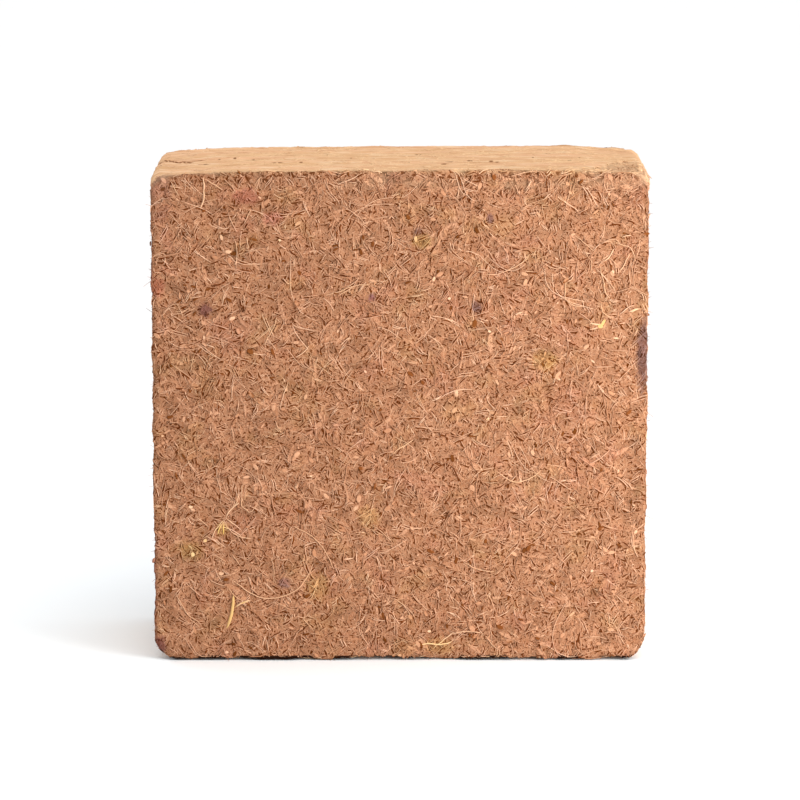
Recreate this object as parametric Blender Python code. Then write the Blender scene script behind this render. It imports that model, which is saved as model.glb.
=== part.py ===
"""A pressed block of coconut coir, standing on one of its narrow sides.

The block is one piece: chopped coir and pith pressed in a square mould with rounded corners. The ram
worked along Y, so the two large faces (front at -Y, back at +Y) are matted and lumpy, while the four
narrow sides show the layers that built up, as shallow ledges and as short cracks between two layers.

Metres, +Z up. The origin is at the middle of the underside, on the surface that the block stands on.
"""

import math

import bmesh
import bpy
from mathutils import Matrix, Vector, noise

# The block's own size.
WIDTH = 0.300
THICKNESS = 0.110
HEIGHT = 0.3032
CORNER_RADIUS = 0.013
CORNER_SEGMENTS = 6

# The net of vertices that carries the unevenness.
FACE_CELL = 0.0112
LAYER_CELL = 0.0086
RIM_ROW = 0.0035

# The large faces: broad hollows and smaller lumps of matted fibre.
HOLLOW_SPAN = 0.060
HOLLOW_DEPTH = 0.0012
LUMP_SPAN = 0.019
LUMP_DEPTH = 0.0016

# The rims between the large faces and the sides crumble away a little, and more at the corners.
CRUMBLE_SPAN = 0.017
CRUMBLE_DEPTH = 0.0014
CORNER_WEAR = 0.0012

# How far the middle of each corner's arc stands out of the mould's arc, by the side it is on in X and in Z:
# near the front, then at the back. It grows to that from nothing at the front rim.
CORNER_SWELL = {
    (-1, 1): (0.0041, 0.0024),
    (1, 1): (0.0048, 0.0026),
    (-1, -1): (-0.0036, -0.0022),
    (1, -1): (-0.0020, -0.0020),
}
SWELL_BEGINS_WITHIN = 0.010

# The sides: layers that stand a little in or out of each other, and short cracks where two layers part.
# A crack is given by where it begins round the block, its length and its depth. Places round the block run
# clockwise as seen from the front, from the top's left end: top, right side, underside, left side.
LAYER_STEP = 0.0007
LAYER_SPAN = 0.090
CRACK_HALF_WIDTH = 0.0009
CRACK_SPAN = 0.040
CRACK_WANDER = 0.0016
CRACK_BLUNTNESS = 0.7
CRACKS_BY_DEPTH_FROM_FRONT = {
    0.0215: ((0.455, 0.090, 0.0018), (1.035, 0.070, 0.0024)),
    0.0385: ((0.175, 0.050, 0.0011), (0.330, 0.060, 0.0015)),
    0.0610: ((-0.024, 0.064, 0.0028), (0.500, 0.075, 0.0026), (0.945, 0.100, 0.0020)),
    0.0870: ((0.020, 0.075, 0.0014), (0.360, 0.085, 0.0022), (1.080, 0.065, 0.0016)),
}

# The top slopes down a little to the left and droops towards both ends. The edges that the block stands on
# are hollow in places: by chance, and under the front at the places given by middle, half width and depth.
TOP_FALL = 0.0018
TOP_DROOP = 0.0030
DROOP_REACH = 0.048
DROOP_CURVE = 1.3
FRONT_FOOT_HOLLOWS = ((-0.012, 0.040, 0.0022), (0.129, 0.018, 0.0024))
FOOT_HOLLOW_DEPTH = 0.0024
FOOT_HOLLOW_SPAN = 0.024
FOOT_HOLLOW_REACH = 0.014
FOOT_TOUCHING_SHARE = 0.45

# Where in the noise each unevenness is read, so that no two look alike, and how strong the noise is.
HOLLOW_SEED = 3.1
LUMP_SEED = 7.4
CRUMBLE_SEED = 12.2
SIDE_SEED = 31.0
FOOT_SEED = 61.0
FIRST_LAYER_SEED, NEXT_LAYER = 20.0, 5.0
FIRST_WANDER_SEED, NEXT_WANDER = 55.0, 4.0
SEED_DIRECTION = (1.0, 2.7, -1.9)
NOISE_GAIN = 0.8

COIR_COLOUR = (0.51, 0.23, 0.115, 1.0)
COIR_ROUGHNESS = 0.95

ON_FACE = 1e-5


def clear_scene():
    for obj in list(bpy.data.objects):
        bpy.data.objects.remove(obj)


def coir_material():
    material = bpy.data.materials.new("pressed_coir")
    material.use_nodes = True
    shader = material.node_tree.nodes["Principled BSDF"]
    shader.inputs["Base Color"].default_value = COIR_COLOUR
    shader.inputs["Roughness"].default_value = COIR_ROUGHNESS
    shader.inputs["Metallic"].default_value = 0.0
    return material


def moulded_slab():
    """The plain slab with its four corners rounded, on the middle of its height."""
    slab = bmesh.new()
    bmesh.ops.create_cube(slab, size=1.0, matrix=Matrix.Diagonal((WIDTH, THICKNESS, HEIGHT, 1.0)))
    corner_edges = [e for e in slab.edges if abs(e.verts[0].co.y - e.verts[1].co.y) > ON_FACE]
    bmesh.ops.bevel(slab, geom=corner_edges, offset=CORNER_RADIUS, offset_type="OFFSET",
                    segments=CORNER_SEGMENTS, profile=0.5, affect="EDGES")
    return slab


def even_cuts(half, first, cell):
    """Places from -half + first to half - first, evenly spaced about a cell apart."""
    span = 2 * (half - first)
    count = max(1, round(span / cell))
    return [-half + first + span * i / count for i in range(count + 1)]


def face_cuts(half):
    """Cuts across a large face. The outer ones go through the corner arc's own points and leave no sliver."""
    diagonal = CORNER_RADIUS * (1 - math.cos(math.pi / 4))
    return [-half + diagonal] + even_cuts(half, CORNER_RADIUS, FACE_CELL) + [half - diagonal]


def crack_places():
    """Each cracked level's place on Y, with its cracks."""
    return [(depth - THICKNESS / 2, cracks) for depth, cracks in CRACKS_BY_DEPTH_FROM_FRONT.items()]


def layer_cuts():
    """Cuts through the thickness: a row at each rim, even rows, and three close ones at each crack."""
    levels = [level for level, _ in crack_places()]
    rows = [y for y in even_cuts(THICKNESS / 2, RIM_ROW, LAYER_CELL)
            if min(abs(y - level) for level in levels) > LAYER_CELL / 2]
    for level in levels:
        rows += [level - CRACK_HALF_WIDTH, level, level + CRACK_HALF_WIDTH]
    return rows


def cut_net(slab):
    """Cuts the slab's skin into the net of small faces."""
    for normal, places in ((Vector((1, 0, 0)), face_cuts(WIDTH / 2)),
                           (Vector((0, 0, 1)), face_cuts(HEIGHT / 2)),
                           (Vector((0, 1, 0)), layer_cuts())):
        for place in places:
            bmesh.ops.bisect_plane(slab, geom=slab.verts[:] + slab.edges[:] + slab.faces[:], dist=ON_FACE,
                                   plane_co=normal * place, plane_no=normal)


def outward_in_plan(point):
    """Which way the mould's wall faces at this point, and how far the point is from that wall."""
    core_x = WIDTH / 2 - CORNER_RADIUS
    core_z = HEIGHT / 2 - CORNER_RADIUS
    core = Vector((max(-core_x, min(core_x, point.x)), 0, max(-core_z, min(core_z, point.z))))
    away = Vector((point.x, 0, point.z)) - core
    if away.length > ON_FACE:
        return away.normalized(), CORNER_RADIUS - away.length
    to_side, to_top = core_x - abs(point.x), core_z - abs(point.z)
    if to_side < to_top:
        return Vector((math.copysign(1, point.x), 0, 0)), to_side + CORNER_RADIUS
    return Vector((0, 0, math.copysign(1, point.z))), to_top + CORNER_RADIUS


def dip(point, span, seed):
    """A smooth unevenness from 0 to 1."""
    value = noise.noise(point / span + seed * Vector(SEED_DIRECTION))
    return max(0.0, min(1.0, 0.5 + NOISE_GAIN * value))


def face_dip(point):
    """How far a large face lies behind its highest level."""
    hollow = HOLLOW_DEPTH * dip(point, HOLLOW_SPAN, HOLLOW_SEED)
    lump = LUMP_DEPTH * dip(point, LUMP_SPAN, LUMP_SEED) ** 2
    return hollow + lump


def into_corner(point):
    """From 0 at both ends of a corner's arc to 1 at its middle."""
    into_x = max(0.0, abs(point.x) - WIDTH / 2 + CORNER_RADIUS) / CORNER_RADIUS
    into_z = max(0.0, abs(point.z) - HEIGHT / 2 + CORNER_RADIUS) / CORNER_RADIUS
    return 2 * into_x * into_z


def rim_wear(point):
    """How far a rim has crumbled inwards."""
    crumbled = CRUMBLE_DEPTH * dip(point, CRUMBLE_SPAN, CRUMBLE_SEED) ** 2
    return crumbled + CORNER_WEAR * into_corner(point)


def corner_swell(point):
    """How far a corner stands out of the mould's arc."""
    near_front, at_back = CORNER_SWELL[math.copysign(1, point.x), math.copysign(1, point.z)]
    depth = point.y + THICKNESS / 2
    swell = near_front + (at_back - near_front) * depth / THICKNESS
    return swell * min(1.0, depth / SWELL_BEGINS_WITHIN) * into_corner(point) ** 2


def round_the_block(point):
    """The distance round the block to this point of a side, from the top's left end."""
    if abs(point.z) - HEIGHT / 2 > abs(point.x) - WIDTH / 2:
        if point.z > 0:
            return point.x + WIDTH / 2
        return WIDTH + HEIGHT + WIDTH / 2 - point.x
    if point.x > 0:
        return WIDTH + HEIGHT / 2 - point.z
    return 2 * WIDTH + HEIGHT + HEIGHT / 2 + point.z


def crack_depth(point, crack):
    """How deep one crack is here: nothing outside its length, deepest in its middle."""
    start, length, depth = crack
    along = (round_the_block(point) - start) % (2 * (WIDTH + HEIGHT)) / length
    if along >= 1:
        return 0.0
    return depth * math.sin(math.pi * along) ** CRACK_BLUNTNESS


def layer_dip(point):
    """How far a side lies behind the mould's wall: the step of its layer, and the crack if one runs there."""
    levels = crack_places()
    layer = sum(point.y > level for level, _ in levels)
    along = Vector((point.x, 0, point.z))
    step = LAYER_STEP * dip(along, LAYER_SPAN, FIRST_LAYER_SEED + NEXT_LAYER * layer)
    uneven = LAYER_STEP * dip(point, LUMP_SPAN, SIDE_SEED)
    parted = sum(crack_depth(point, crack)
                 for level, cracks in levels if abs(point.y - level) < ON_FACE for crack in cracks)
    return step + uneven + parted


def crack_shift(point):
    """How far a crack, and the two rows beside it, wander across the thickness."""
    for number, (level, _) in enumerate(crack_places()):
        if abs(point.y - level) < CRACK_HALF_WIDTH + ON_FACE:
            along = Vector((point.x, 0, point.z))
            wander = dip(along, CRACK_SPAN, FIRST_WANDER_SEED + NEXT_WANDER * number)
            return CRACK_WANDER * (2 * wander - 1)
    return 0.0


def foot_hollow(point):
    """How far the underside is hollow near its front and back edges, where it doesn't touch the ground."""
    from_edge = THICKNESS / 2 - abs(point.y)
    share = max(0.0, 1 - from_edge / FOOT_HOLLOW_REACH)
    over_touching = dip(point, FOOT_HOLLOW_SPAN, FOOT_SEED) - FOOT_TOUCHING_SHARE
    hollow = FOOT_HOLLOW_DEPTH * max(0.0, over_touching) / (1 - FOOT_TOUCHING_SHARE)
    if point.y < 0:
        for middle, half_width, depth in FRONT_FOOT_HOLLOWS:
            hollow = max(hollow, depth * (1 - min(1.0, abs(point.x - middle) / half_width) ** 2))
    return share * hollow


def top_drop(point):
    """How far the top has come down here, less and less towards the foot."""
    fall = TOP_FALL * (0.5 - point.x / WIDTH)
    from_end = (WIDTH / 2 - abs(point.x)) / DROOP_REACH
    droop = TOP_DROOP * max(0.0, 1 - from_end) ** DROOP_CURVE
    above_middle = max(0.0, 2 * point.z / HEIGHT)
    return fall * (point.z / HEIGHT + 0.5) + droop * above_middle ** 2


def worn(point):
    """Where a vertex of the plain slab ends up on the real block."""
    wall, depth_in = outward_in_plan(point)
    on_large_face = abs(abs(point.y) - THICKNESS / 2) < ON_FACE
    on_side = depth_in < ON_FACE
    on_underside = on_side and abs(point.z + HEIGHT / 2) < ON_FACE
    moved = point.copy()
    if on_side:
        moved += wall * corner_swell(point)
    if on_large_face:
        moved.y -= math.copysign(face_dip(point), point.y)
    if on_side and on_large_face:
        moved -= wall * rim_wear(point)
        moved.y -= math.copysign(rim_wear(point), point.y)
    elif on_side and not on_underside:
        moved -= wall * layer_dip(point)
        moved.y += crack_shift(point)
    if on_underside:
        moved.z = point.z + foot_hollow(point)
    moved.z -= top_drop(point)
    return moved


def stand_on_origin(block):
    """Puts the middle of the underside at the origin."""
    low = Vector(min(v.co[axis] for v in block.verts) for axis in range(3))
    high = Vector(max(v.co[axis] for v in block.verts) for axis in range(3))
    foot = Vector(((low.x + high.x) / 2, (low.y + high.y) / 2, low.z))
    bmesh.ops.translate(block, verts=block.verts[:], vec=-foot)


def coir_bale(material):
    block = moulded_slab()
    cut_net(block)
    places = {vertex: worn(vertex.co) for vertex in block.verts}
    for vertex, place in places.items():
        vertex.co = place
    stand_on_origin(block)
    bmesh.ops.recalc_face_normals(block, faces=block.faces[:])
    mesh = bpy.data.meshes.new("coir_bale")
    block.to_mesh(mesh)
    block.free()
    mesh.materials.append(material)
    mesh.shade_smooth()
    mesh.set_sharp_from_angle(angle=math.radians(35))
    return bpy.data.objects.new("coir_bale", mesh)


def main():
    clear_scene()
    collection = bpy.data.collections.new("coconut_coir_bale")
    bpy.context.scene.collection.children.link(collection)
    collection.objects.link(coir_bale(coir_material()))


main()
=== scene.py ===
"""The looks of a pressed block of coconut coir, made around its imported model.

The block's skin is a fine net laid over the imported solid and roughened. Flakes and crumbs of pith, mats of fibres,
a few long strands and stray ends lie on it. Metres, +Z up; the front is at -Y.
"""

import math

import bmesh
import bpy
import numpy as np
from bpy.props import FloatProperty, FloatVectorProperty, PointerProperty
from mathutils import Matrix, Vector
from mathutils.bvhtree import BVHTree


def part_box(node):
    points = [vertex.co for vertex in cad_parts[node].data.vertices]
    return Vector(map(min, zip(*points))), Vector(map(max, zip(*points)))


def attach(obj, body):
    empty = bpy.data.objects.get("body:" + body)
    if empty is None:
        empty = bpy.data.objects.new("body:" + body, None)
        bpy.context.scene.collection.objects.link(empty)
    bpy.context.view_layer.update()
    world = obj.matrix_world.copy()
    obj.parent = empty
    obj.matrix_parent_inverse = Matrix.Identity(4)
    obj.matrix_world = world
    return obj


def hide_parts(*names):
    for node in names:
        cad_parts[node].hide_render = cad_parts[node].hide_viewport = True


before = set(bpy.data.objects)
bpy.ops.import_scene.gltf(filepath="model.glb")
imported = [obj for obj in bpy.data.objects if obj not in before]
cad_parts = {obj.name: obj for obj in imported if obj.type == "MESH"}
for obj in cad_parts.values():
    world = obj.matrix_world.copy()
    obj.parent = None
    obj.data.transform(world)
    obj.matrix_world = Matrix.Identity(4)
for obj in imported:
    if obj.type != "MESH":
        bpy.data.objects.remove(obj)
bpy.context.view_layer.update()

bl_info = {
    "name": "Pressed coir block",
    "version": (1, 0, 0),
    "blender": (4, 5, 0),
    "location": "View3D > Sidebar > Coir",
    "description": "Makes the skin, the fibres and the stage of a pressed block of coconut coir",
    "category": "Add Mesh",
}

NODE = "coir_bale"
BODY = "root"
MM = 0.001

BLOCK_LOW, BLOCK_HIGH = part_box(NODE)
MIDDLE = (BLOCK_LOW + BLOCK_HIGH) / 2
HALF = (BLOCK_HIGH - BLOCK_LOW) / 2
TOP = BLOCK_HIGH.z

# The mould's rounded corners, and the levels behind the front face where the narrow sides have cracks.
CORNER_RADIUS = 0.013
CRACK_LEVELS = (0.0215, 0.0385, 0.0610, 0.0870)

# How deep a full crack is, and how far through the thickness its painted shade spreads to the layers beside it.
CRACK_DEPTH = 1.2 * MM
CRACK_SPREAD = 1.5 * MM

# Which part of the skin a face belongs to.
FRONT, BACK, SIDES, FOOT = range(4)

# A point of the band that is no higher than this belongs to the foot.
FOOT_LEVEL = 0.5 * MM

# The way that most fibres of the large faces lie, from level, and how much it turns from place to place.
FACE_WAY = math.radians(115)
FACE_SWIRL = 0.45
SWIRL_TURN = 4 * math.pi
SWIRL_SCALE = 105.0
FACE_HEADING = {"Way": FACE_WAY, "Swirl": FACE_SWIRL, "Gather": 1.0}

# How often each noise turns to the metre, in the colours and in the shapes.
GRAIN_SCALE, CLOUD_SCALE = 900.0, 160.0
GOLDEN_SCALE, RUSSET_SCALE = 62.0, 45.0
HOLE_SCALE, STAIN_AND_SHADE_SCALE, CRACK_SCALE = 280.0, 420.0, 500.0
FIBRE_TONE_SCALE, FIBRE_GRAIN_SCALE = 350.0, 2500.0
RAGGED_SCALE, STEP_SCALE = 330.0, 70.0
WEAVE_SCALE, STRAND_SCALE = 260.0, 200.0
FLAKE_FRAY_SCALE, CHIP_FRAY_SCALE = 260.0, 400.0

# Tints of the broad patches and of the matted skin along the top's rim, and the painted shade of the foot next to
# the floor.
GOLDEN_TINT = (0.98, 1.06, 0.86)
RUSSET_TINT = (0.96, 0.88, 0.94)
RIM_TINT = (1.20, 1.29, 1.23)
FLOOR_SHADE_TINT = (0.34, 0.24, 0.30)

# The gaps under the foot's long edges: how far one reaches along the edge, how high it is, how far it goes in and
# over what depth it closes, and the wall of skin behind it, painted dark with shade: how far in its skin may lie at
# first, and how far behind the face it stands.
GAP_SIZE = 0.016
GAP_HEIGHT = 0.0026
GAP_DEPTH = 0.0020
GAP_CLOSES = 0.0017
GAP_WALL_REACH = 0.006
GAP_WALL_INSET = 0.0004

# From what height a gap begins to show and shows fully.
GAP_SHOWS = (0.2 * MM, 0.6 * MM)

# No flake stands further than this over the skin.
BED_HEIGHT = 0.004

# How far the matted skin of the large faces comes over the rims: on the sides, on the top, where it stops short
# of the rim near the left end, and most of all over the upper right corner, from where it rises towards it.
WRAP_ON_SIDES = 0.0080
WRAP_ON_RIGHT_CORNER = 0.055
WRAP_RISES_FROM = 0.095
WRAP_ON_TOP = 0.0055
WRAP_AT_LEFT_END = -0.0015
WRAP_ON_TOP_AT_BACK = -0.0030
LEFT_END = (-0.148, -0.112)

# The step at the crack near the left end of the top: how far apart the layers stand, and where it ends.
STEP_LEVEL = CRACK_LEVELS[2]
STEP_HEIGHT = 0.0010
STEP_WANDER = 0.0012
STEP_BEND = 0.011
STEP_REACH = 0.012
STEP_ENDS = (-0.150, -0.1240)

# One layer of drawn fibres: cell size and width in millimetres, bow, half width of the hollow beside a fibre, and
# how strongly the fibre and the hollow show. The hollow is painted shade.
STROKES = (
    (1.6, 0.34, 0.3, 0.20, 0.65, 0.90),
    (2.3, 0.38, 0.4, 0.26, 0.60, 0.90),
    (3.4, 0.42, 0.5, 0.34, 0.65, 0.92),
    (5.0, 0.46, 0.5, 0.46, 0.70, 0.92),
    (8.0, 0.55, 0.6, 0.62, 0.70, 0.92),
)
STROKE_SPREAD = math.radians(130)
HOLLOW_SHARE = 0.72

# How far apart two layers of drawn fibres are taken from the pattern, in millimetres.
STROKE_SHIFT = (17.3, 9.1)

# Stains and painted shade of the front face: name, place from the middle of its foot, radius, tint and strength.
STAINS_AND_SHADE = (
    ("bruise_right_edge", (0.147, 0.190), (0.006, 0.030), (0.34, 0.36, 0.62), 0.80),
    # Painted shade in the hollow of the bottom left corner.
    ("shade_bottom_left_cavity", (-0.147, 0.009), (0.006, 0.009), (0.36, 0.26, 0.42), 0.85),
    # Painted shade along the left rim.
    ("dark_left_low", (-0.1505, 0.045), (0.0030, 0.050), (0.58, 0.42, 0.46), 0.80),
    ("wine_patch_top", (-0.0920, 0.2860), (0.011, 0.007), (0.92, 0.68, 0.78), 0.80),
    ("wine_patch_upper", (-0.0760, 0.2730), (0.008, 0.006), (0.92, 0.70, 0.80), 0.75),
    ("shade_upper_left", (-0.1440, 0.2850), (0.010, 0.022), (0.84, 0.79, 0.90), 0.80),
    ("red_left_edge", (-0.146, 0.231), (0.006, 0.008), (0.98, 0.74, 0.80), 0.80),
    # Painted shade along the left rim.
    ("dark_left_edge", (-0.151, 0.250), (0.003, 0.050), (0.72, 0.60, 0.78), 0.70),
    ("dark_spot_left", (-0.1175, 0.2170), (0.006, 0.006), (0.40, 0.33, 0.50), 0.90),
    ("dark_spot_top", (0.0540, 0.2730), (0.003, 0.004), (0.45, 0.45, 0.75), 0.80),
    ("dark_spot_right", (0.0460, 0.2190), (0.004, 0.005), (0.45, 0.45, 0.75), 0.80),
    ("dark_spot_middle", (0.0110, 0.2650), (0.004, 0.003), (0.45, 0.45, 0.60), 0.75),
    ("dark_spot_centre", (-0.0170, 0.2250), (0.003, 0.003), (0.60, 0.52, 0.82), 0.90),
    ("dark_spot_low", (-0.0710, 0.0480), (0.005, 0.005), (0.50, 0.48, 0.75), 0.70),
    ("pale_patch_top_right", (0.1020, 0.2965), (0.018, 0.007), (1.09, 1.13, 1.12), 0.80),
    ("straw_patch_top", (0.0130, 0.2590), (0.008, 0.006), (0.98, 1.09, 0.76), 0.80),
    ("straw_patch_knot", (-0.1080, 0.0820), (0.005, 0.006), (1.04, 1.12, 0.78), 0.80),
    ("straw_patch_low", (-0.0500, 0.0460), (0.010, 0.012), (1.02, 1.10, 0.84), 0.80),
    ("straw_patch_middle", (-0.0190, 0.0900), (0.009, 0.009), (1.02, 1.10, 0.84), 0.75),
    ("straw_patch_right", (0.0870, 0.1870), (0.010, 0.008), (1.02, 1.10, 0.82), 0.75),
    ("straw_patch_foot", (0.0240, 0.0090), (0.013, 0.007), (1.03, 1.08, 0.84), 0.85),
    ("straw_patch_corner", (-0.1270, 0.0680), (0.010, 0.009), (1.00, 1.12, 0.80), 0.70),
)

# How far behind the front face its stains and painted shade reach.
STAIN_AND_SHADE_REACH = 0.012

# The narrow sides' streaks: how fast they change along and across the layers, to the millimetre, and their detail;
# where they begin and are full; their strength and colour. The dark ticks, painted shade of tiny voids, are the
# last.
SIDE_STREAKS = (
    (0.008, 0.07, 2.0, 0.42, 0.62, 0.60, "side_pink"),
    (0.030, 0.22, 2.0, 0.54, 0.66, 0.50, "side_pale"),
    (0.030, 0.22, 2.0, 0.46, 0.36, 0.45, "side_brown"),
    (0.070, 1.30, 2.0, 0.60, 0.70, 0.85, "side_pale"),
    (0.045, 0.80, 2.0, 0.60, 0.72, 0.90, "side_brown"),
    (0.120, 1.10, 1.0, 0.72, 0.79, 0.70, "side_tick_shade"),
)

# Dark marks of painted shade on the top, in millimetres: place from the middle of its front edge, half length and
# half depth.
TOP_SHADE_MARKS = (
    (-89.6, 56, 1.4, 5.0), (-110.6, 59, 1.4, 4.0), (-80.4, 32, 3.4, 2.6), (55.4, 43, 1.8, 4.0),
    (81.3, 59, 0.9, 4.0), (109.6, 59, 0.9, 4.0), (27.0, 32, 3.0, 2.4), (-30.0, 60, 1.0, 3.5),
    (-118.0, 41, 2.0, 2.4), (-74.4, 40, 4.5, 2.0), (-60.0, 40, 1.4, 2.2), (-101.1, 62, 1.4, 3.0),
    (11.2, 72, 2.6, 2.4), (5.2, 36, 1.3, 2.2), (30.3, 41, 3.4, 2.0), (42.6, 47, 2.2, 2.8),
    (58.8, 40, 1.8, 2.2), (92.0, 78, 3.4, 2.6), (103.7, 46, 2.4, 2.2), (134.4, 62, 1.4, 3.0),
    (-43.0, 75, 3.0, 2.4),
)

# The matted skin's colour where it comes over on to the top.
TOP_MATTED = (0.690, 0.422, 0.250, 1.0)

# The ledges of the narrow sides change this much more slowly along the layers than across them, and the gaps'
# pattern under the front edge is taken this far from the one under the back edge.
LEDGE_STRETCH = 0.1
GAP_PATTERN_SHIFT = 0.1

# A flake's corners and the size of its top face, a chip's top face, and the corners of the tubes.
FLAKE_CORNERS = 7
FLAKE_TOP, CHIP_TOP = 0.39, 0.40
FIBRE_CORNERS, STRAND_CORNERS = 3, 5

# A stray end begins this far under the skin, next to its length, and has this many points.
STRAY_ROOT = 0.25
STRAY_POINTS = 4

# Fibres that lie side by side: where each begins and ends along the bundle, how far aside it lies, in gaps, and
# whether it is one of the dark ones, which lie lower. The dark ones are darker fibres and partly painted shade
# beside the pale ones.
BUNDLES = (
    ((-0.50, 0.50, 0.0, 0.0), (-0.25, 0.20, 1.1, 1.0)),
    ((-0.50, 0.42, -1.1, 0.0), (-0.15, 0.28, 0.0, 1.0), (-0.30, 0.50, 1.1, 0.0)),
    ((-0.50, 0.50, 0.0, 0.0),),
    ((-0.50, 0.36, -0.5, 0.0), (-0.30, 0.50, 0.5, 0.0), (-0.05, 0.35, 1.6, 1.0)),
    ((-0.50, 0.36, -0.9, 0.0), (-0.30, 0.50, 0.2, 0.0)),
)

# Colours from the darkest to the palest, each with its place on the way. Of the face's fibres the dark ones take
# the first stretch, up to DARK_UP_TO, and the others the rest, from PALE_FROM. The darkest fibres and crumbs are
# partly painted shade of the crevices.
DARK_UP_TO = 0.15
PALE_FROM = 0.25
FIBRE_COLOURS = (
    (0.00, (0.110, 0.021, 0.002)),
    (0.15, (0.180, 0.047, 0.009)),
    (0.25, (0.397, 0.172, 0.084)),
    (0.60, (0.530, 0.266, 0.152)),
    (0.90, (0.675, 0.383, 0.238)),
    (1.00, (0.752, 0.446, 0.288)),
)
PITH_COLOURS = (
    (0.00, (0.355, 0.152, 0.076)),
    (0.50, (0.417, 0.192, 0.102)),
    (1.00, (0.489, 0.241, 0.138)),
)
CRUMB_COLOURS = (
    (0.00, (0.120, 0.034, 0.007)),
    (0.30, (0.200, 0.060, 0.016)),
    (0.33, (0.433, 0.195, 0.100)),
    (0.96, (0.556, 0.290, 0.169)),
    (1.00, (0.659, 0.385, 0.236)),
)
SIDE_FIBRE_COLOURS = (
    (0.00, (0.304, 0.144, 0.064)),
    (0.15, (0.384, 0.196, 0.092)),
    (0.25, (0.480, 0.272, 0.140)),
    (0.60, (0.608, 0.368, 0.204)),
    (1.00, (0.720, 0.504, 0.320)),
)
STRAW_COLOURS = (
    (0.00, (0.460, 0.220, 0.115)),
    (0.50, (0.640, 0.365, 0.215)),
    (0.85, (0.720, 0.445, 0.275)),
    (0.95, (0.640, 0.390, 0.165)),
    (1.00, (0.620, 0.370, 0.145)),
)

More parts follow.
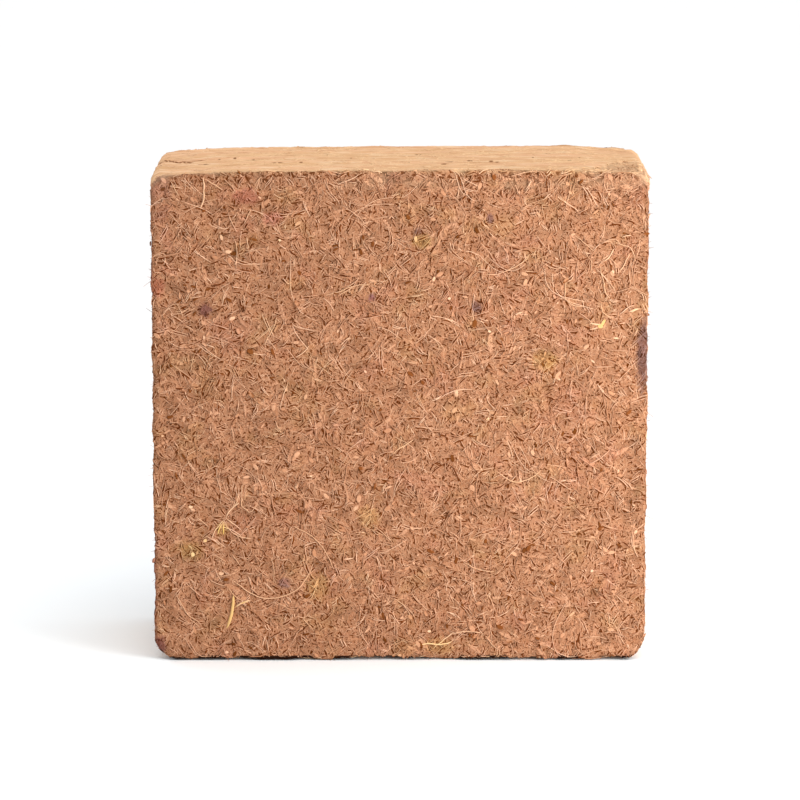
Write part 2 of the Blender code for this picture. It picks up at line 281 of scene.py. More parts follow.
# Long strands that stand out on the front: thickness, tint, and their course in millimetres, X from the middle
# and Z from the foot.
STRANDS = (
    (0.70, 0.45, ((-104, 51), (-98, 47), (-91, 42), (-84, 39), (-76, 39), (-67, 42), (-60, 47), (-55, 55),
                   (-52, 63))),
    (0.55, 0.25, ((-114, 50), (-109, 52), (-103, 54), (-97, 57))),
    (0.50, 0.30, ((-105, 46), (-103, 43), (-99, 39), (-95, 37))),
    (0.60, 0.40, ((-138, 43), (-135, 38), (-132, 33), (-129, 28), (-124, 25), (-121, 21))),
    (0.50, 0.35, ((-129, 27), (-126, 24), (-122, 20))),
    (0.60, 0.35, ((-67, 85), (-61, 82), (-55, 79), (-47, 71), (-42, 61), (-40, 56))),
    (0.50, 0.35, ((-76, 37), (-71, 34), (-67, 32))),
    (0.50, 0.30, ((-79, 65), (-77, 58), (-77, 47))),
    (0.55, 0.30, ((-114, 66), (-109, 64), (-105, 61))),
    (0.55, 0.35, ((-103, 67), (-100, 63), (-97, 59))),
    (0.80, 0.75, ((-106, 89), (-104, 93), (-101, 96), (-97, 99))),
    (0.65, 0.55, ((-106, 90), (-103, 94), (-99, 99), (-98, 106))),
    (0.70, 0.60, ((-106, 89), (-102, 86), (-99, 84), (-96, 81))),
    (0.60, 0.55, ((-106, 86), (-105, 83), (-102, 80), (-97, 77), (-90, 76))),
    (0.65, 0.70, ((-107, 88), (-110, 85), (-113, 80), (-115, 75))),
    (0.80, 0.95, ((-108, 86), (-110, 82), (-111, 78))),
    (0.80, 0.95, ((-107, 86), (-107.5, 82), (-107, 78))),
    (0.60, 0.45, ((-96, 110), (-96, 103), (-96, 96), (-94, 95), (-91, 92), (-89, 95), (-86, 98))),
    (0.50, 0.35, ((-94, 106), (-94, 99))),
    (0.50, 0.35, ((-141, 88), (-136, 87), (-131, 85))),
    (0.60, 0.40, ((-124, 90), (-120, 87), (-116, 83))),
    (2.10, 0.98, ((-101.7, 41), (-102, 35), (-103, 28), (-106, 20))),
    (1.10, 0.90, ((-101, 33), (-96, 36), (-91, 38))),
    (1.00, 0.60, ((-117.7, 298), (-117.3, 291), (-118, 284), (-119.5, 278))),
    (0.65, 0.50, ((-117, 297), (-112, 294), (-106, 290))),
    (0.55, 0.40, ((-138, 296), (-136, 293), (-134, 289), (-132, 286))),
    (0.50, 0.35, ((-130, 296), (-128, 293), (-124, 290))),
    (0.55, 0.40, ((-87, 292), (-85, 296), (-82, 299))),
    (0.60, 0.45, ((-94, 269), (-92, 273), (-89, 279))),
    (0.60, 0.45, ((50, 239), (60, 240), (70, 244), (78, 250))),
    (0.70, 0.55, ((120.5, 247.5), (123, 249), (126, 251))),
    (0.80, 0.65, ((121.5, 246.5), (125, 249), (127, 251.5), (128.5, 255))),
    (0.60, 0.50, ((125, 247), (126.7, 250.3))),
    (0.60, 0.45, ((120.4, 245), (120.4, 241), (122, 236), (123, 229), (125, 225.5), (127, 223.5))),
    (0.55, 0.45, ((123.3, 244), (123, 242), (125.5, 240.3))),
    (0.55, 0.45, ((121, 223), (121.5, 218.5), (122, 216), (125, 214), (127.5, 211))),
    (1.00, 0.80, ((113.8, 209.3), (117, 209), (121, 208.8))),
    (0.90, 0.75, ((114, 205.3), (117, 206), (120, 207))),
    (0.60, 0.45, ((128, 259.5), (132, 257.7), (135.5, 256.5), (138.5, 255.4), (140, 252.7), (141, 249.6),
                   (141.4, 246))),
    (0.65, 0.50, ((138.4, 252.3), (136, 248), (134, 244), (131, 240))),
    (0.60, 0.40, ((100, 235.6), (99.4, 230), (99, 225.5), (101, 222.4), (105, 220), (109.7, 219.4),
                   (111.5, 220.5))),
    (0.50, 0.35, ((100, 225), (102.5, 222), (106.6, 221.3))),
    (0.55, 0.35, ((105, 263), (109, 259), (113, 256), (116.5, 252.7))),
    (0.50, 0.30, ((111, 255), (112, 251), (115, 246.5), (114.6, 240))),
    (0.50, 0.35, ((112, 231.7), (115, 229.4), (118, 226))),
    (1.50, 0.80, ((137.5, 216.3), (140.6, 217.4), (144, 218.6))),
    (0.60, 0.45, ((-45, 226), (-36, 229), (-27, 232), (-17, 233))),
    (0.60, 0.50, ((-6, 128), (2, 134), (9, 138))),
    (0.60, 0.45, ((38, 62), (47, 57), (58, 55))),
    (0.60, 0.45, ((-82, 196), (-77, 205), (-74, 214))),
    (0.65, 0.50, ((59, 118), (68, 112), (78, 113), (86, 119))),
    (0.90, 0.84, ((8, 9), (16, 10.5), (24, 9), (33, 12.5))),
    (0.70, 0.80, ((20, 7), (26, 12), (33, 17.5))),
    (0.65, 0.60, ((30, 16), (40, 18), (50, 17))),
)

# Pale chips that stand out on the front: X and Z in millimetres, length, width, turn in degrees, and tint.
CHIPS = (
    (122.4, 209.6, 5.6, 2.6, 62, 1.00), (120.8, 207.6, 4.2, 2.6, -20, 0.95), (127.8, 240.3, 3.4, 2.6, 80, 0.65),
    (130.4, 200.0, 4.6, 1.6, -5, 0.60), (-127.1, 96.2, 3.6, 2.5, 0, 0.85), (-118.5, 75.0, 3.2, 2.6, 10, 0.90),
    (-126.1, 66.2, 3.2, 3.4, 0, 0.75), (-109.0, 54.4, 4.2, 2.8, 15, 0.55), (117.0, 56.0, 3.0, 2.0, 30, 0.85),
    (18.0, 18.0, 2.6, 2.2, 0, 0.80), (53.0, 150.0, 3.6, 2.0, 60, 0.90), (30.0, 224.0, 2.6, 1.8, 20, 0.85),
    (54.0, 204.0, 2.6, 1.8, -40, 0.80), (-72.0, 260.0, 2.8, 2.0, 0, 0.85), (-106.0, 5.0, 3.0, 2.0, 20, 0.85),
)

# Where each light is and what it is aimed at, how broad the sun is, and the camera's sensor and sight.
SUN_WAY = ((0.35, -0.55, 2.0), (0.0, 0.0, 0.15))
LAMP_WAY = ((0.54, -0.50, 0.235), (0.0, 0.0, 0.13))
FILL_WAY = ((-0.55, 0.30, 0.35), (-0.27, -0.05, 0.0))
SUN_BREADTH = math.radians(70)
SENSOR_WIDTH = 36.0
SIGHT = 100.0


class Value:
    """A node's output. Arithmetic on it adds the nodes that do it, for vectors and colours too."""

    def __init__(self, tree, socket):
        self.tree, self.socket = tree, socket

    def __add__(self, other):
        return self.tree.math("ADD", self, other)

    def __radd__(self, other):
        return self.tree.math("ADD", other, self)

    def __sub__(self, other):
        return self.tree.math("SUBTRACT", self, other)

    def __rsub__(self, other):
        return self.tree.math("SUBTRACT", other, self)

    def __mul__(self, other):
        return self.tree.math("MULTIPLY", self, other)

    def __truediv__(self, other):
        return self.tree.math("DIVIDE", self, other)

    def __rtruediv__(self, other):
        return self.tree.math("DIVIDE", other, self)

    def __pow__(self, other):
        return self.tree.math("POWER", self, other)

    def __neg__(self):
        return self.tree.math("MULTIPLY", self, -1.0)

    def __abs__(self):
        return self.tree.math("ABSOLUTE", self)

    def part(self, axis):
        return self.tree.add("ShaderNodeSeparateXYZ", {"Vector": self}, out=axis)

    x = property(lambda self: self.part("X"))
    y = property(lambda self: self.part("Y"))
    z = property(lambda self: self.part("Z"))


def is_vector(value):
    """Whether a value holds three numbers or a colour."""
    if isinstance(value, Value):
        return value.socket.type in ("VECTOR", "RGBA")
    return isinstance(value, tuple)


class Tree:
    """Adds nodes to a tree. A node is fed numbers, vectors, colours and values."""

    def __init__(self, tree):
        self.tree = tree

    def node(self, kind, inputs=None, **settings):
        """A new node with these settings, fed by its inputs' names or numbers."""
        node = self.tree.nodes.new(kind)
        for name, value in settings.items():
            setattr(node, name, value)
        for name, value in (inputs or {}).items():
            self.feed(self.socket(node.inputs, name), value)
        return node

    def add(self, kind, inputs=None, out=None, **settings):
        """A new node's output: the one named, or the first in use, or several if several are named."""
        outputs = self.node(kind, inputs, **settings).outputs
        if isinstance(out, tuple):
            return [Value(self, self.socket(outputs, name)) for name in out]
        return Value(self, self.socket(outputs, out))

    def socket(self, sockets, name):
        """The socket in use with this name; a number counts the sockets in use, and None is the first."""
        used = [s for s in sockets if s.enabled]
        if isinstance(name, str):
            return next(s for s in used if s.name == name)
        return used[name or 0]

    def feed(self, socket, value):
        if isinstance(value, Value):
            self.tree.links.new(value.socket, socket)
        else:
            socket.default_value = value

    def math(self, operation, *values):
        """One step of arithmetic, on vectors if any value is one. A number scales a vector."""
        of_vectors = [is_vector(value) for value in values]
        inputs = dict(enumerate(values))
        if not any(of_vectors):
            return self.add("ShaderNodeMath", inputs, operation=operation)
        if operation == "MULTIPLY" and not all(of_vectors):
            vector, factor = sorted(values, key=is_vector, reverse=True)
            operation, inputs = "SCALE", {0: vector, "Scale": factor}
        return self.add("ShaderNodeVectorMath", inputs, operation=operation)

    def xyz(self, x, y, z=0.0):
        return self.add("ShaderNodeCombineXYZ", {"X": x, "Y": y, "Z": z})

    def ease(self, value, low, high, to_low=0.0, to_high=1.0):
        """A smooth step from to_low at low to to_high at high."""
        return self.add("ShaderNodeMapRange", {"Value": value, "From Min": low, "From Max": high,
                                               "To Min": to_low, "To Max": to_high},
                        interpolation_type="SMOOTHSTEP")

    def noise(self, vector, scale, detail=2.0, roughness=0.5, out="Fac"):
        return self.add("ShaderNodeTexNoise", {"Vector": vector, "Scale": scale, "Detail": detail,
                                               "Roughness": roughness}, out=out)

    def blend(self, factor, first, second, kind="FLOAT"):
        return self.add("ShaderNodeMix", {"Factor": factor, "A": first, "B": second}, data_type=kind)

    def mix(self, factor, first, second):
        """A colour between two."""
        return self.blend(factor, first, second, "RGBA")

    def tinted(self, factor, colour, tint):
        """The colour, multiplied by the tint where the factor is one."""
        return self.mix(factor, colour, colour * tint)

    def ramp(self, factor, stops):
        """A colour of the ramp."""
        node = self.node("ShaderNodeValToRGB", {"Fac": factor})
        elements = node.color_ramp.elements
        elements.remove(elements[0])
        for number, (where, colour) in enumerate(stops):
            element = elements[0] if number == 0 else elements.new(where)
            element.position = where
            element.color = (*colour, 1.0)
        return Value(self, node.outputs["Color"])

    def attribute(self, name):
        return self.add("ShaderNodeAttribute", out="Fac", attribute_name=name)

    def object_place(self):
        return self.add("ShaderNodeTexCoord", out="Object")


class ShapeTree(Tree):
    """A Geometry Nodes tree with named inputs. It ends in Realize Instances and Set Material."""

    def __init__(self, name, numbers, counts=(), objects=()):
        super().__init__(bpy.data.node_groups.new(name, "GeometryNodeTree"))
        face = self.tree.interface
        for kind, labels in (("Geometry", ("Geometry",)), ("Float", numbers), ("Int", counts),
                             ("Object", objects), ("Material", ("Material",))):
            for label in labels:
                face.new_socket(label, in_out="INPUT", socket_type="NodeSocket" + kind)
        face.new_socket("Geometry", in_out="OUTPUT", socket_type="NodeSocketGeometry")
        self.entries = self.tree.nodes.new("NodeGroupInput").outputs

    def entry(self, name):
        return Value(self, self.entries[name])

    def place(self):
        return self.add("GeometryNodeInputPosition")

    def normal(self):
        return self.add("GeometryNodeInputNormal")

    def named(self, name, kind="FLOAT"):
        return self.add("GeometryNodeInputNamedAttribute", {"Name": name}, data_type=kind)

    def store(self, geometry, name, value, kind="FLOAT"):
        return self.add("GeometryNodeStoreNamedAttribute", {"Geometry": geometry, "Name": name, "Value": value},
                        data_type=kind, domain="POINT")

    def forget(self, geometry, *names):
        for name in names:
            geometry = self.add("GeometryNodeRemoveAttribute", {"Geometry": geometry, "Name": name})
        return geometry

    def random(self, low, high, number):
        """A random number for each point. The tree's own seed is added to the number of the draw."""
        return self.add("FunctionNodeRandomValue", {"Min": low, "Max": high,
                                                    "Seed": self.entry("Seed") + float(number)}, data_type="FLOAT")

    def random_vector(self, first):
        return self.xyz(*(self.random(-1.0, 1.0, first + axis) for axis in range(3)))

    def random_length(self):
        rare = self.random(0.0, 1.0, 2) ** self.entry("Rarity")
        return (self.entry("Longest") - self.entry("Shortest")) * rare + self.entry("Shortest")

    def geometry_of(self, name):
        return self.add("GeometryNodeObjectInfo", {"Object": self.entry(name)}, out="Geometry")

    def join(self, pieces):
        node = self.node("GeometryNodeJoinGeometry")
        for piece in pieces:
            self.feed(node.inputs["Geometry"], piece)
        return Value(self, node.outputs["Geometry"])

    def scatter(self, chosen, density):
        """Points on the chosen faces, and at each the way out of the skin."""
        return self.add("GeometryNodeDistributePointsOnFaces", {
            "Mesh": self.entry("Geometry"), "Selection": chosen, "Seed": self.entry("Seed"),
            "Density": density}, out=("Points", "Normal"))

    def instances(self, points, shape, turn, scale, picked=None):
        """Copies of a shape on the points, made real. Of several shapes each point gets the one that is picked."""
        pick = {} if picked is None else {"Pick Instance": True, "Instance Index": picked}
        placed = self.add("GeometryNodeInstanceOnPoints", {
            "Points": points, "Instance": shape, "Rotation": turn, "Scale": scale, **pick})
        return self.add("GeometryNodeRealizeInstances", {"Geometry": placed})

    def move(self, geometry, place):
        return self.add("GeometryNodeSetPosition", {"Geometry": geometry, "Position": place})

    def shift(self, geometry, offset):
        return self.add("GeometryNodeSetPosition", {"Geometry": geometry, "Offset": offset})

    def aimed(self, vector, turn):
        """The vector, turned."""
        return self.add("FunctionNodeRotateVector", {"Vector": vector, "Rotation": turn})

    def turned(self, turn, by):
        """A turn followed by another in its own axes."""
        return self.add("FunctionNodeRotateRotation", {"Rotation": turn, "Rotate By": by}, rotation_space="LOCAL")

    def spun(self, turn, angle):
        """A turn followed by one about its own Z."""
        return self.turned(turn, self.add("FunctionNodeAxisAngleToRotation", {"Axis": (0.0, 0.0, 1.0),
                                                                              "Angle": angle}))

    def tubes(self, curves, girth, corners, *spent):
        """Closed tubes along the curves, without the attributes that are spent."""
        ring = self.add("GeometryNodeCurvePrimitiveCircle", {"Resolution": corners, "Radius": 1.0})
        mesh = self.add("GeometryNodeCurveToMesh", {"Curve": curves, "Profile Curve": ring, "Scale": girth,
                                                    "Fill Caps": True})
        mesh = self.add("GeometryNodeSetShadeSmooth", {"Geometry": mesh, "Shade Smooth": True})
        return self.forget(mesh, *spent)

    def finish(self, geometry):
        realized = self.add("GeometryNodeRealizeInstances", {"Geometry": geometry})
        covered = self.add("GeometryNodeSetMaterial", {"Geometry": realized, "Material": self.entry("Material")})
        self.node("NodeGroupOutput", {"Geometry": covered})
        return self.tree


def add_piece(name, mesh):
    piece = bpy.data.objects.new(name, mesh)
    bpy.context.scene.collection.objects.link(piece)
    return piece


def make_piece(name, start, tree, values):
    """Runs a Geometry Nodes tree on a mesh, leaves a plain mesh, and ties the finished piece to the frame."""
    piece = add_piece(name, start)
    modifier = piece.modifiers.new(tree.name, "NODES")
    modifier.node_group = tree
    for item in tree.interface.items_tree:
        if item.in_out == "INPUT" and item.name in values:
            modifier[item.identifier] = values[item.name]
    graph = bpy.context.evaluated_depsgraph_get()
    mesh = bpy.data.meshes.new_from_object(piece.evaluated_get(graph))
    piece.modifiers.clear()
    while mesh.materials[0] is None:
        mesh.materials.pop(index=0)
    piece.data = mesh
    mesh.name = piece.name
    bpy.data.meshes.remove(start)
    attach(piece, BODY)
    return piece


def lay_pieces(tree, values, *rows):
    """Makes like pieces on zones of the skin. A row has a name, a zone, a seed, and what is its own."""
    skin = bpy.data.objects["coir_block"].data
    for name, zone, seed, own in rows:
        make_piece(name, skin.copy(), tree, {**values, **own, "Zone": zone, "Seed": seed})


def make_bed():
    """A joint copy of the skin and the flakes, for the fibres to lie on."""
    plan = bmesh.new()
    for name in ("coir_block", "flakes_front", "flakes_back"):
        plan.from_mesh(bpy.data.objects[name].data)
    mesh = bpy.data.meshes.new("fibre_bed")
    plan.to_mesh(mesh)
    plan.free()
    return add_piece("fibre_bed", mesh)


def drop_bed(bed):
    mesh = bed.data
    bpy.data.objects.remove(bed)
    bpy.data.meshes.remove(mesh)


def number_setting(name, description, value, **kind):
    return FloatProperty(name=name, description=description, default=value, **kind)


def length_setting(name, description, value):
    return number_setting(name, description, value, subtype="DISTANCE", unit="LENGTH", precision=5)


def colour_setting(name, description, value):
    return FloatVectorProperty(name=name, description=description, subtype="COLOR", size=4, min=0.0, max=1.0,
                               default=(*value, 1.0))


def setting_names(settings):
    return [name for name in settings.bl_rna.properties.keys() if name not in ("rna_type", "name")]


def tree_values(settings):
    """The settings under the names of a tree's inputs: lump_size is Lump Size there."""
    return {name.replace("_", " ").title(): getattr(settings, name) for name in setting_names(settings)}


def rounded(x, z):
    """Draws the corners of a square net in to the block's rounded corners."""
    inner_x, inner_z = HALF.x - CORNER_RADIUS, HALF.z - CORNER_RADIUS
    over_x = np.maximum(np.abs(x) - inner_x, 0)
    over_z = np.maximum(np.abs(z) - inner_z, 0)
    reach = np.maximum(over_x, over_z)
    share = np.divide(np.minimum(over_x, over_z), reach, out=np.zeros_like(reach), where=reach > 0)
    turn = share * math.pi / 4
    wide = over_x >= over_z
    out_x = reach * np.where(wide, np.cos(turn), np.sin(turn))
    out_z = reach * np.where(wide, np.sin(turn), np.cos(turn))
    return (np.sign(x) * (np.minimum(np.abs(x), inner_x) + out_x),
            np.sign(z) * (np.minimum(np.abs(z), inner_z) + out_z))


def wall_way(points):
    """At each point, which way the mould's wall faces, and how far inside it the point is."""
    core = np.array([HALF.x - CORNER_RADIUS, HALF.z - CORNER_RADIUS])
    plan = points[:, [0, 2]]
    away = plan - np.clip(plan, -core, core)
    length = np.linalg.norm(away, axis=1)
    in_corner = length > 1e-6
    to_side = HALF.x - np.abs(plan[:, 0])
    to_top = HALF.z - np.abs(plan[:, 1])
    near_side = to_side < to_top
    way = np.zeros_like(points)
    way[:, 0] = np.where(near_side, np.sign(plan[:, 0]), 0)
    way[:, 2] = np.where(near_side, 0, np.sign(plan[:, 1]))
    way[in_corner, 0] = away[in_corner, 0] / length[in_corner]
    way[in_corner, 2] = away[in_corner, 1] / length[in_corner]
    return way, np.where(in_corner, CORNER_RADIUS - length, np.minimum(to_side, to_top))


def wrap_width(points):
    """How far the matted skin comes over the rim on to a side. At the back it hardly comes on to the top."""
    x, y, z = points.T
    over_x = np.clip((np.abs(x) - HALF.x + CORNER_RADIUS) / CORNER_RADIUS, 0, 1)
    over_z = np.clip((z - HALF.z + CORNER_RADIUS) / CORNER_RADIUS, 0, 1)
    angle = np.arctan2(over_x, over_z) / (math.pi / 2)
    start, end = LEFT_END
    at_left_end = np.clip(1 - np.abs(2 * x - start - end) / (end - start), 0, 1) ** 0.5
    on_top = WRAP_ON_TOP + (WRAP_AT_LEFT_END - WRAP_ON_TOP) * at_left_end
    to_right = np.clip((x - WRAP_RISES_FROM) / (HALF.x - CORNER_RADIUS - WRAP_RISES_FROM), 0, 1)
    corner = WRAP_ON_RIGHT_CORNER * to_right ** 2 * np.cos(angle * math.pi / 2)
    on_top, corner = np.where(y > 0, WRAP_ON_TOP_AT_BACK, on_top), np.where(y > 0, 0, corner)
    width = on_top + (WRAP_ON_SIDES - on_top) * angle + corner
    return np.where(over_z > 0, width, WRAP_ON_SIDES)


def row_places(gap, crack_gap, crack_reach):
    """Places through the thickness for the rows of the narrow sides, closer together where a crack wanders."""
    places = [-HALF.y]
    levels = [level - HALF.y for level in CRACK_LEVELS]
    while places[-1] < HALF.y:
        near_crack = any(abs(places[-1] + crack_gap - level) < crack_reach for level in levels)
        places.append(places[-1] + (crack_gap if near_crack else gap))
    rows = np.array(places)
    return -HALF.y + (rows + HALF.y) * 2 * HALF.y / (rows[-1] + HALF.y)


class Net:
    """The net of the block's skin before it is laid on the solid: two rounded squares and the band round them."""

    def __init__(self, cell, rows):
        columns, levels = round(2 * HALF.x / cell), round(2 * HALF.z / cell)
        x, z = rounded(*np.meshgrid(np.linspace(-HALF.x, HALF.x, columns + 1),
                                    np.linspace(-HALF.z, HALF.z, levels + 1), indexing="ij"))
        index = np.arange(x.size).reshape(x.shape)
        half = columns // 2
        ring = np.concatenate([index[half:0:-1, 0], index[0, :-1], index[:-1, -1], index[-1, :0:-1],
                               index[:half:-1, 0]])
        plan = np.stack([x.ravel(), z.ravel()], axis=1)
        ring_plan = plan[ring]
        next_plan = np.roll(ring_plan, -1, axis=0)
        around = np.concatenate([[0], np.cumsum(np.linalg.norm(next_plan - ring_plan, axis=1))])
        inner = rows[1:-1]
        count, ring_count = len(plan), len(ring)

        band = np.insert(np.tile(ring_plan, (inner.size, 1)), 1, np.repeat(inner, ring_count), axis=1)
        sheets = [np.insert(plan, 1, y, axis=1) for y in (-HALF.y, HALF.y)]
        self.points = np.concatenate([*sheets, band])
        self.on_band = np.arange(len(self.points)) >= 2 * count
        self.around = np.zeros(len(self.points))
        self.around[self.on_band] = np.tile(around[:-1], inner.size)

        front_faces = np.stack([index[:-1, :-1].ravel(), index[1:, :-1].ravel(), index[1:, 1:].ravel(),
                                index[:-1, 1:].ravel()], axis=1)
        back_faces = front_faces[:, [0, 3, 2, 1]]
        rings = [2 * count + row * ring_count + np.arange(ring_count) for row in range(inner.size)]
        rings = [ring, *rings, ring + count]
        band_faces = [np.stack([a, np.roll(a, -1), np.roll(b, -1), b], axis=1) for a, b in zip(rings, rings[1:])]
        self.faces = np.concatenate([front_faces, back_faces + count, *band_faces])

        # A flat map in metres: the large faces as they are, and the band unrolled.
        along = np.stack([around[:-1], around[1:], around[1:], around[:-1]], axis=1)
        band_map = [np.stack([along, np.tile([a, a, b, b], (ring_count, 1)) + 1.0], axis=2)
                    for a, b in zip(rows, rows[1:])]
        self.uv = np.concatenate([plan[front_faces], plan[back_faces] + (1.0, 0.0), *band_map]).reshape(-1, 2)

        middle = (ring_plan + next_plan) / 2
        is_foot = (middle[:, 1] < -HALF.z + FOOT_LEVEL) & (np.abs(middle[:, 0]) < HALF.x - CORNER_RADIUS)
        zones = [np.full(len(front_faces), FRONT), np.full(len(back_faces), BACK)]
        for y in (rows[1:] + rows[:-1]) / 2:
            matted = HALF.y - abs(y) < wrap_width(np.insert(middle, 1, y, axis=1))
            zone = np.where(matted, FRONT if y < 0 else BACK, SIDES)
            zones.append(np.where(is_foot, FOOT, zone))
        self.zone = np.concatenate(zones)


def lay_on_solid(net, rim_width):
    """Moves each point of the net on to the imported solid, along a way that turns smoothly over the rims."""
    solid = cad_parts[NODE].data
    bvh = BVHTree.FromPolygons([v.co for v in solid.vertices], [p.vertices for p in solid.polygons])
    way, inside = wall_way(net.points)
    out_of_face = np.zeros_like(way)
    out_of_face[:, 1] = np.sign(net.points[:, 1])
    to_face = HALF.y - np.abs(net.points[:, 1])
    wall_share = np.clip(1 - inside / rim_width, 0, 1)[:, None]
    face_share = np.clip(1 - to_face / rim_width, 0, 1)[:, None]
    outward = np.where(net.on_band[:, None], way + face_share * out_of_face, out_of_face + wall_share * way)
    outward /= np.linalg.norm(outward, axis=1)[:, None]
    laid = net.points.copy()
    for i, (point, out) in enumerate(zip(net.points, outward)):
        place, way_out = Vector(point) + MIDDLE, Vector(out)
        hit = bvh.ray_cast(place + way_out * rim_width, -way_out, 3 * rim_width)[0]
        laid[i] = hit if hit else bvh.find_nearest(place)[0]
    return laid, inside, to_face


def crack_mask(net, laid, rows, reach):
    """From 0 to 1, how deep in a crack each point of the band is, next to its layer's own level."""
    inner = rows[1:-1]
    sunk = np.linalg.norm((laid - np.array(MIDDLE) - net.points)[:, [0, 2]], axis=1)
    band = sunk[net.on_band].reshape(inner.size, -1)
    level = np.array([np.median(band[np.abs(inner - y) < 2 * reach], axis=0) for y in inner])
    deep = np.clip((band - level) / CRACK_DEPTH, 0, 1)
    wide = np.array([deep[np.abs(inner - y) < CRACK_SPREAD].max(axis=0) for y in inner])
    mask = np.zeros(len(net.points))
    mask[net.on_band] = ((wide + deep) / 2).ravel()
    return mask


def skin_mesh(settings):
    """The block's skin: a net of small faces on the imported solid, with what the materials and fibres need."""
    rows = row_places(settings.row_gap, settings.crack_row_gap, settings.crack_reach)
    net = Net(settings.face_cell, rows)
    laid, inside, to_face = lay_on_solid(net, settings.rim_width)
    mesh = bpy.data.meshes.new("coir_block")
    mesh.from_pydata(laid.tolist(), [], net.faces.tolist())
    mesh.uv_layers.new(name="block_map").data.foreach_set("uv", net.uv.astype(np.float32).ravel())
    beyond = np.where(net.on_band, to_face, -inside) - wrap_width(net.points)
    for name, values in {
        "side": np.clip(0.5 + beyond / settings.wrap_blend, 0, 1),
        "beyond": beyond,
        "foot": net.on_band & (net.points[:, 2] < -HALF.z + FOOT_LEVEL),
        "rim": np.clip(1 - np.maximum(inside, to_face) / settings.rim_width, 0, 1),
        "around": net.around,
        "crack": crack_mask(net, laid, rows, settings.crack_reach),
    }.items():
        mesh.attributes.new(name, "FLOAT", "POINT").data.foreach_set("value", values.astype(np.float32))
    mesh.attributes.new("zone", "INT", "FACE").data.foreach_set("value", net.zone.astype(np.int32))
    mesh.shade_smooth()
    return mesh


def gap_height(t, place, reach=GAP_DEPTH):
    """How high the gap under the nearer long edge of the foot is at a place, so far in from the face."""
    along = t.noise(t.xyz(place.x, t.math("SIGN", place.y) * GAP_PATTERN_SHIFT), 1 / GAP_SIZE, 2.0)
    low = t.ease(abs(place.y), HALF.y - reach, HALF.y - reach + GAP_CLOSES)
    return t.ease(along, 0.43, 0.54) * low * GAP_HEIGHT


def above_ground(t, place):
    """The same place, but not below the surface that the block stands on, nor in a gap under its long edges."""
    return t.xyz(place.x, place.y, t.math("MAXIMUM", place.z, gap_height(t, place)))


def past_step(t, place):
    """How far behind the wandering line of the step a place is, and how strongly the step shows there."""
    start, end = STEP_ENDS
    line = t.noise(t.xyz(place.x, 0.0), STEP_SCALE, 2.0) * STEP_WANDER + (BLOCK_LOW.y + STEP_LEVEL - STEP_WANDER)
    line = line + t.ease(place.x, end, start, -0.5 * STEP_BEND, STEP_BEND)
    fade = t.ease(place.x, end, end - 5 * MM) * t.ease(place.x, start - 4 * MM, start)
    high = t.ease(place.z, TOP - CORNER_RADIUS, TOP - 0.6 * CORNER_RADIUS)
    return place.y - line, fade * high


def relief_tree():
    """Roughens the skin inwards: lumps, flakes and pits on the large faces, ledges on the narrow sides."""
    t = ShapeTree("coir_relief", ("Lump Size", "Lump Depth", "Flake Size", "Flake Depth", "Pit Size", "Pit Depth",
                                  "Ledge Size", "Ledge Depth", "Rim Depth", "Rim Swell"))
    place, rim = t.place(), t.named("rim")
    off_foot = 1.0 - t.named("foot")

    def finer(size):
        return 1.0 / t.entry(size)

    lump = t.ease(t.noise(place, finer("Lump Size"), 3.0, 0.6), 0.3, 0.7)
    warped = place + t.noise(place, finer("Flake Size"), 1.0, out="Color") * (2 * MM)
    flake = t.add("ShaderNodeTexVoronoi", {"Vector": warped, "Scale": finer("Flake Size")}, out="Color").x
    cell, away = t.add("ShaderNodeTexVoronoi", {"Vector": place, "Scale": finer("Pit Size")},
                       out=("Color", "Distance"))
    pit = t.ease(away, 0.12, 0.3, 1.0, 0.0) * t.ease(cell.y, 0.45, 0.5)
    face_depth = lump * t.entry("Lump Depth") + flake * t.entry("Flake Depth") + pit * t.entry("Pit Depth")

    layers = t.xyz(t.named("around") * LEDGE_STRETCH, place.y)
    ledge = t.ease(t.noise(layers, finer("Ledge Size"), 3.0, 0.6), 0.35, 0.65)
    behind, shows = past_step(t, place)
    step = t.ease(behind, -STEP_REACH, -1.0 * MM) * t.ease(behind, 0.0, -0.6 * MM) * shows
    side_depth = (ledge - 0.75) * t.entry("Ledge Depth") * off_foot + step * STEP_HEIGHT
    ragged = t.ease(t.noise(place, RAGGED_SCALE, 2.0), 0.4, 0.7)
    depth = t.blend(t.named("side"), face_depth, side_depth) + ragged * t.entry("Rim Depth") * rim ** 2.0 * off_foot
    swell = t.ease(rim, 0.0, 0.5) * t.entry("Rim Swell") * off_foot
    moved = place + t.normal() * (swell - depth)

    in_gap = t.ease(gap_height(t, place, GAP_WALL_REACH), *GAP_SHOWS) * off_foot
    in_gap = in_gap * t.ease(place.z, 2.6 * MM, 1.0 * MM)
    wall = t.math("SIGN", moved.y) * (HALF.y - GAP_WALL_INSET)
    laid = t.xyz(moved.x, t.blend(in_gap, moved.y, wall), t.math("MAXIMUM", moved.z, 0.0))
    return t.finish(t.move(t.store(t.entry("Geometry"), "hollow", depth), laid))


def new_material(name, roughness, specular):
    """A material, what adds nodes to it, and its shader."""
    material = bpy.data.materials.new(name)
    material.use_nodes = True
    shader = material.node_tree.nodes["Principled BSDF"]
    shader.inputs["Roughness"].default_value = roughness
    shader.inputs["Specular IOR Level"].default_value = specular
    return material, Tree(material.node_tree), shader


def cover(t, shader, colour, strength, distance, height):
    """Gives a shader its colour, and the bumps of a height."""
    bump = t.add("ShaderNodeBump", {"Strength": strength, "Distance": distance, "Height": height})
    t.feed(shader.inputs["Base Color"], colour)
    t.feed(shader.inputs["Normal"], bump)


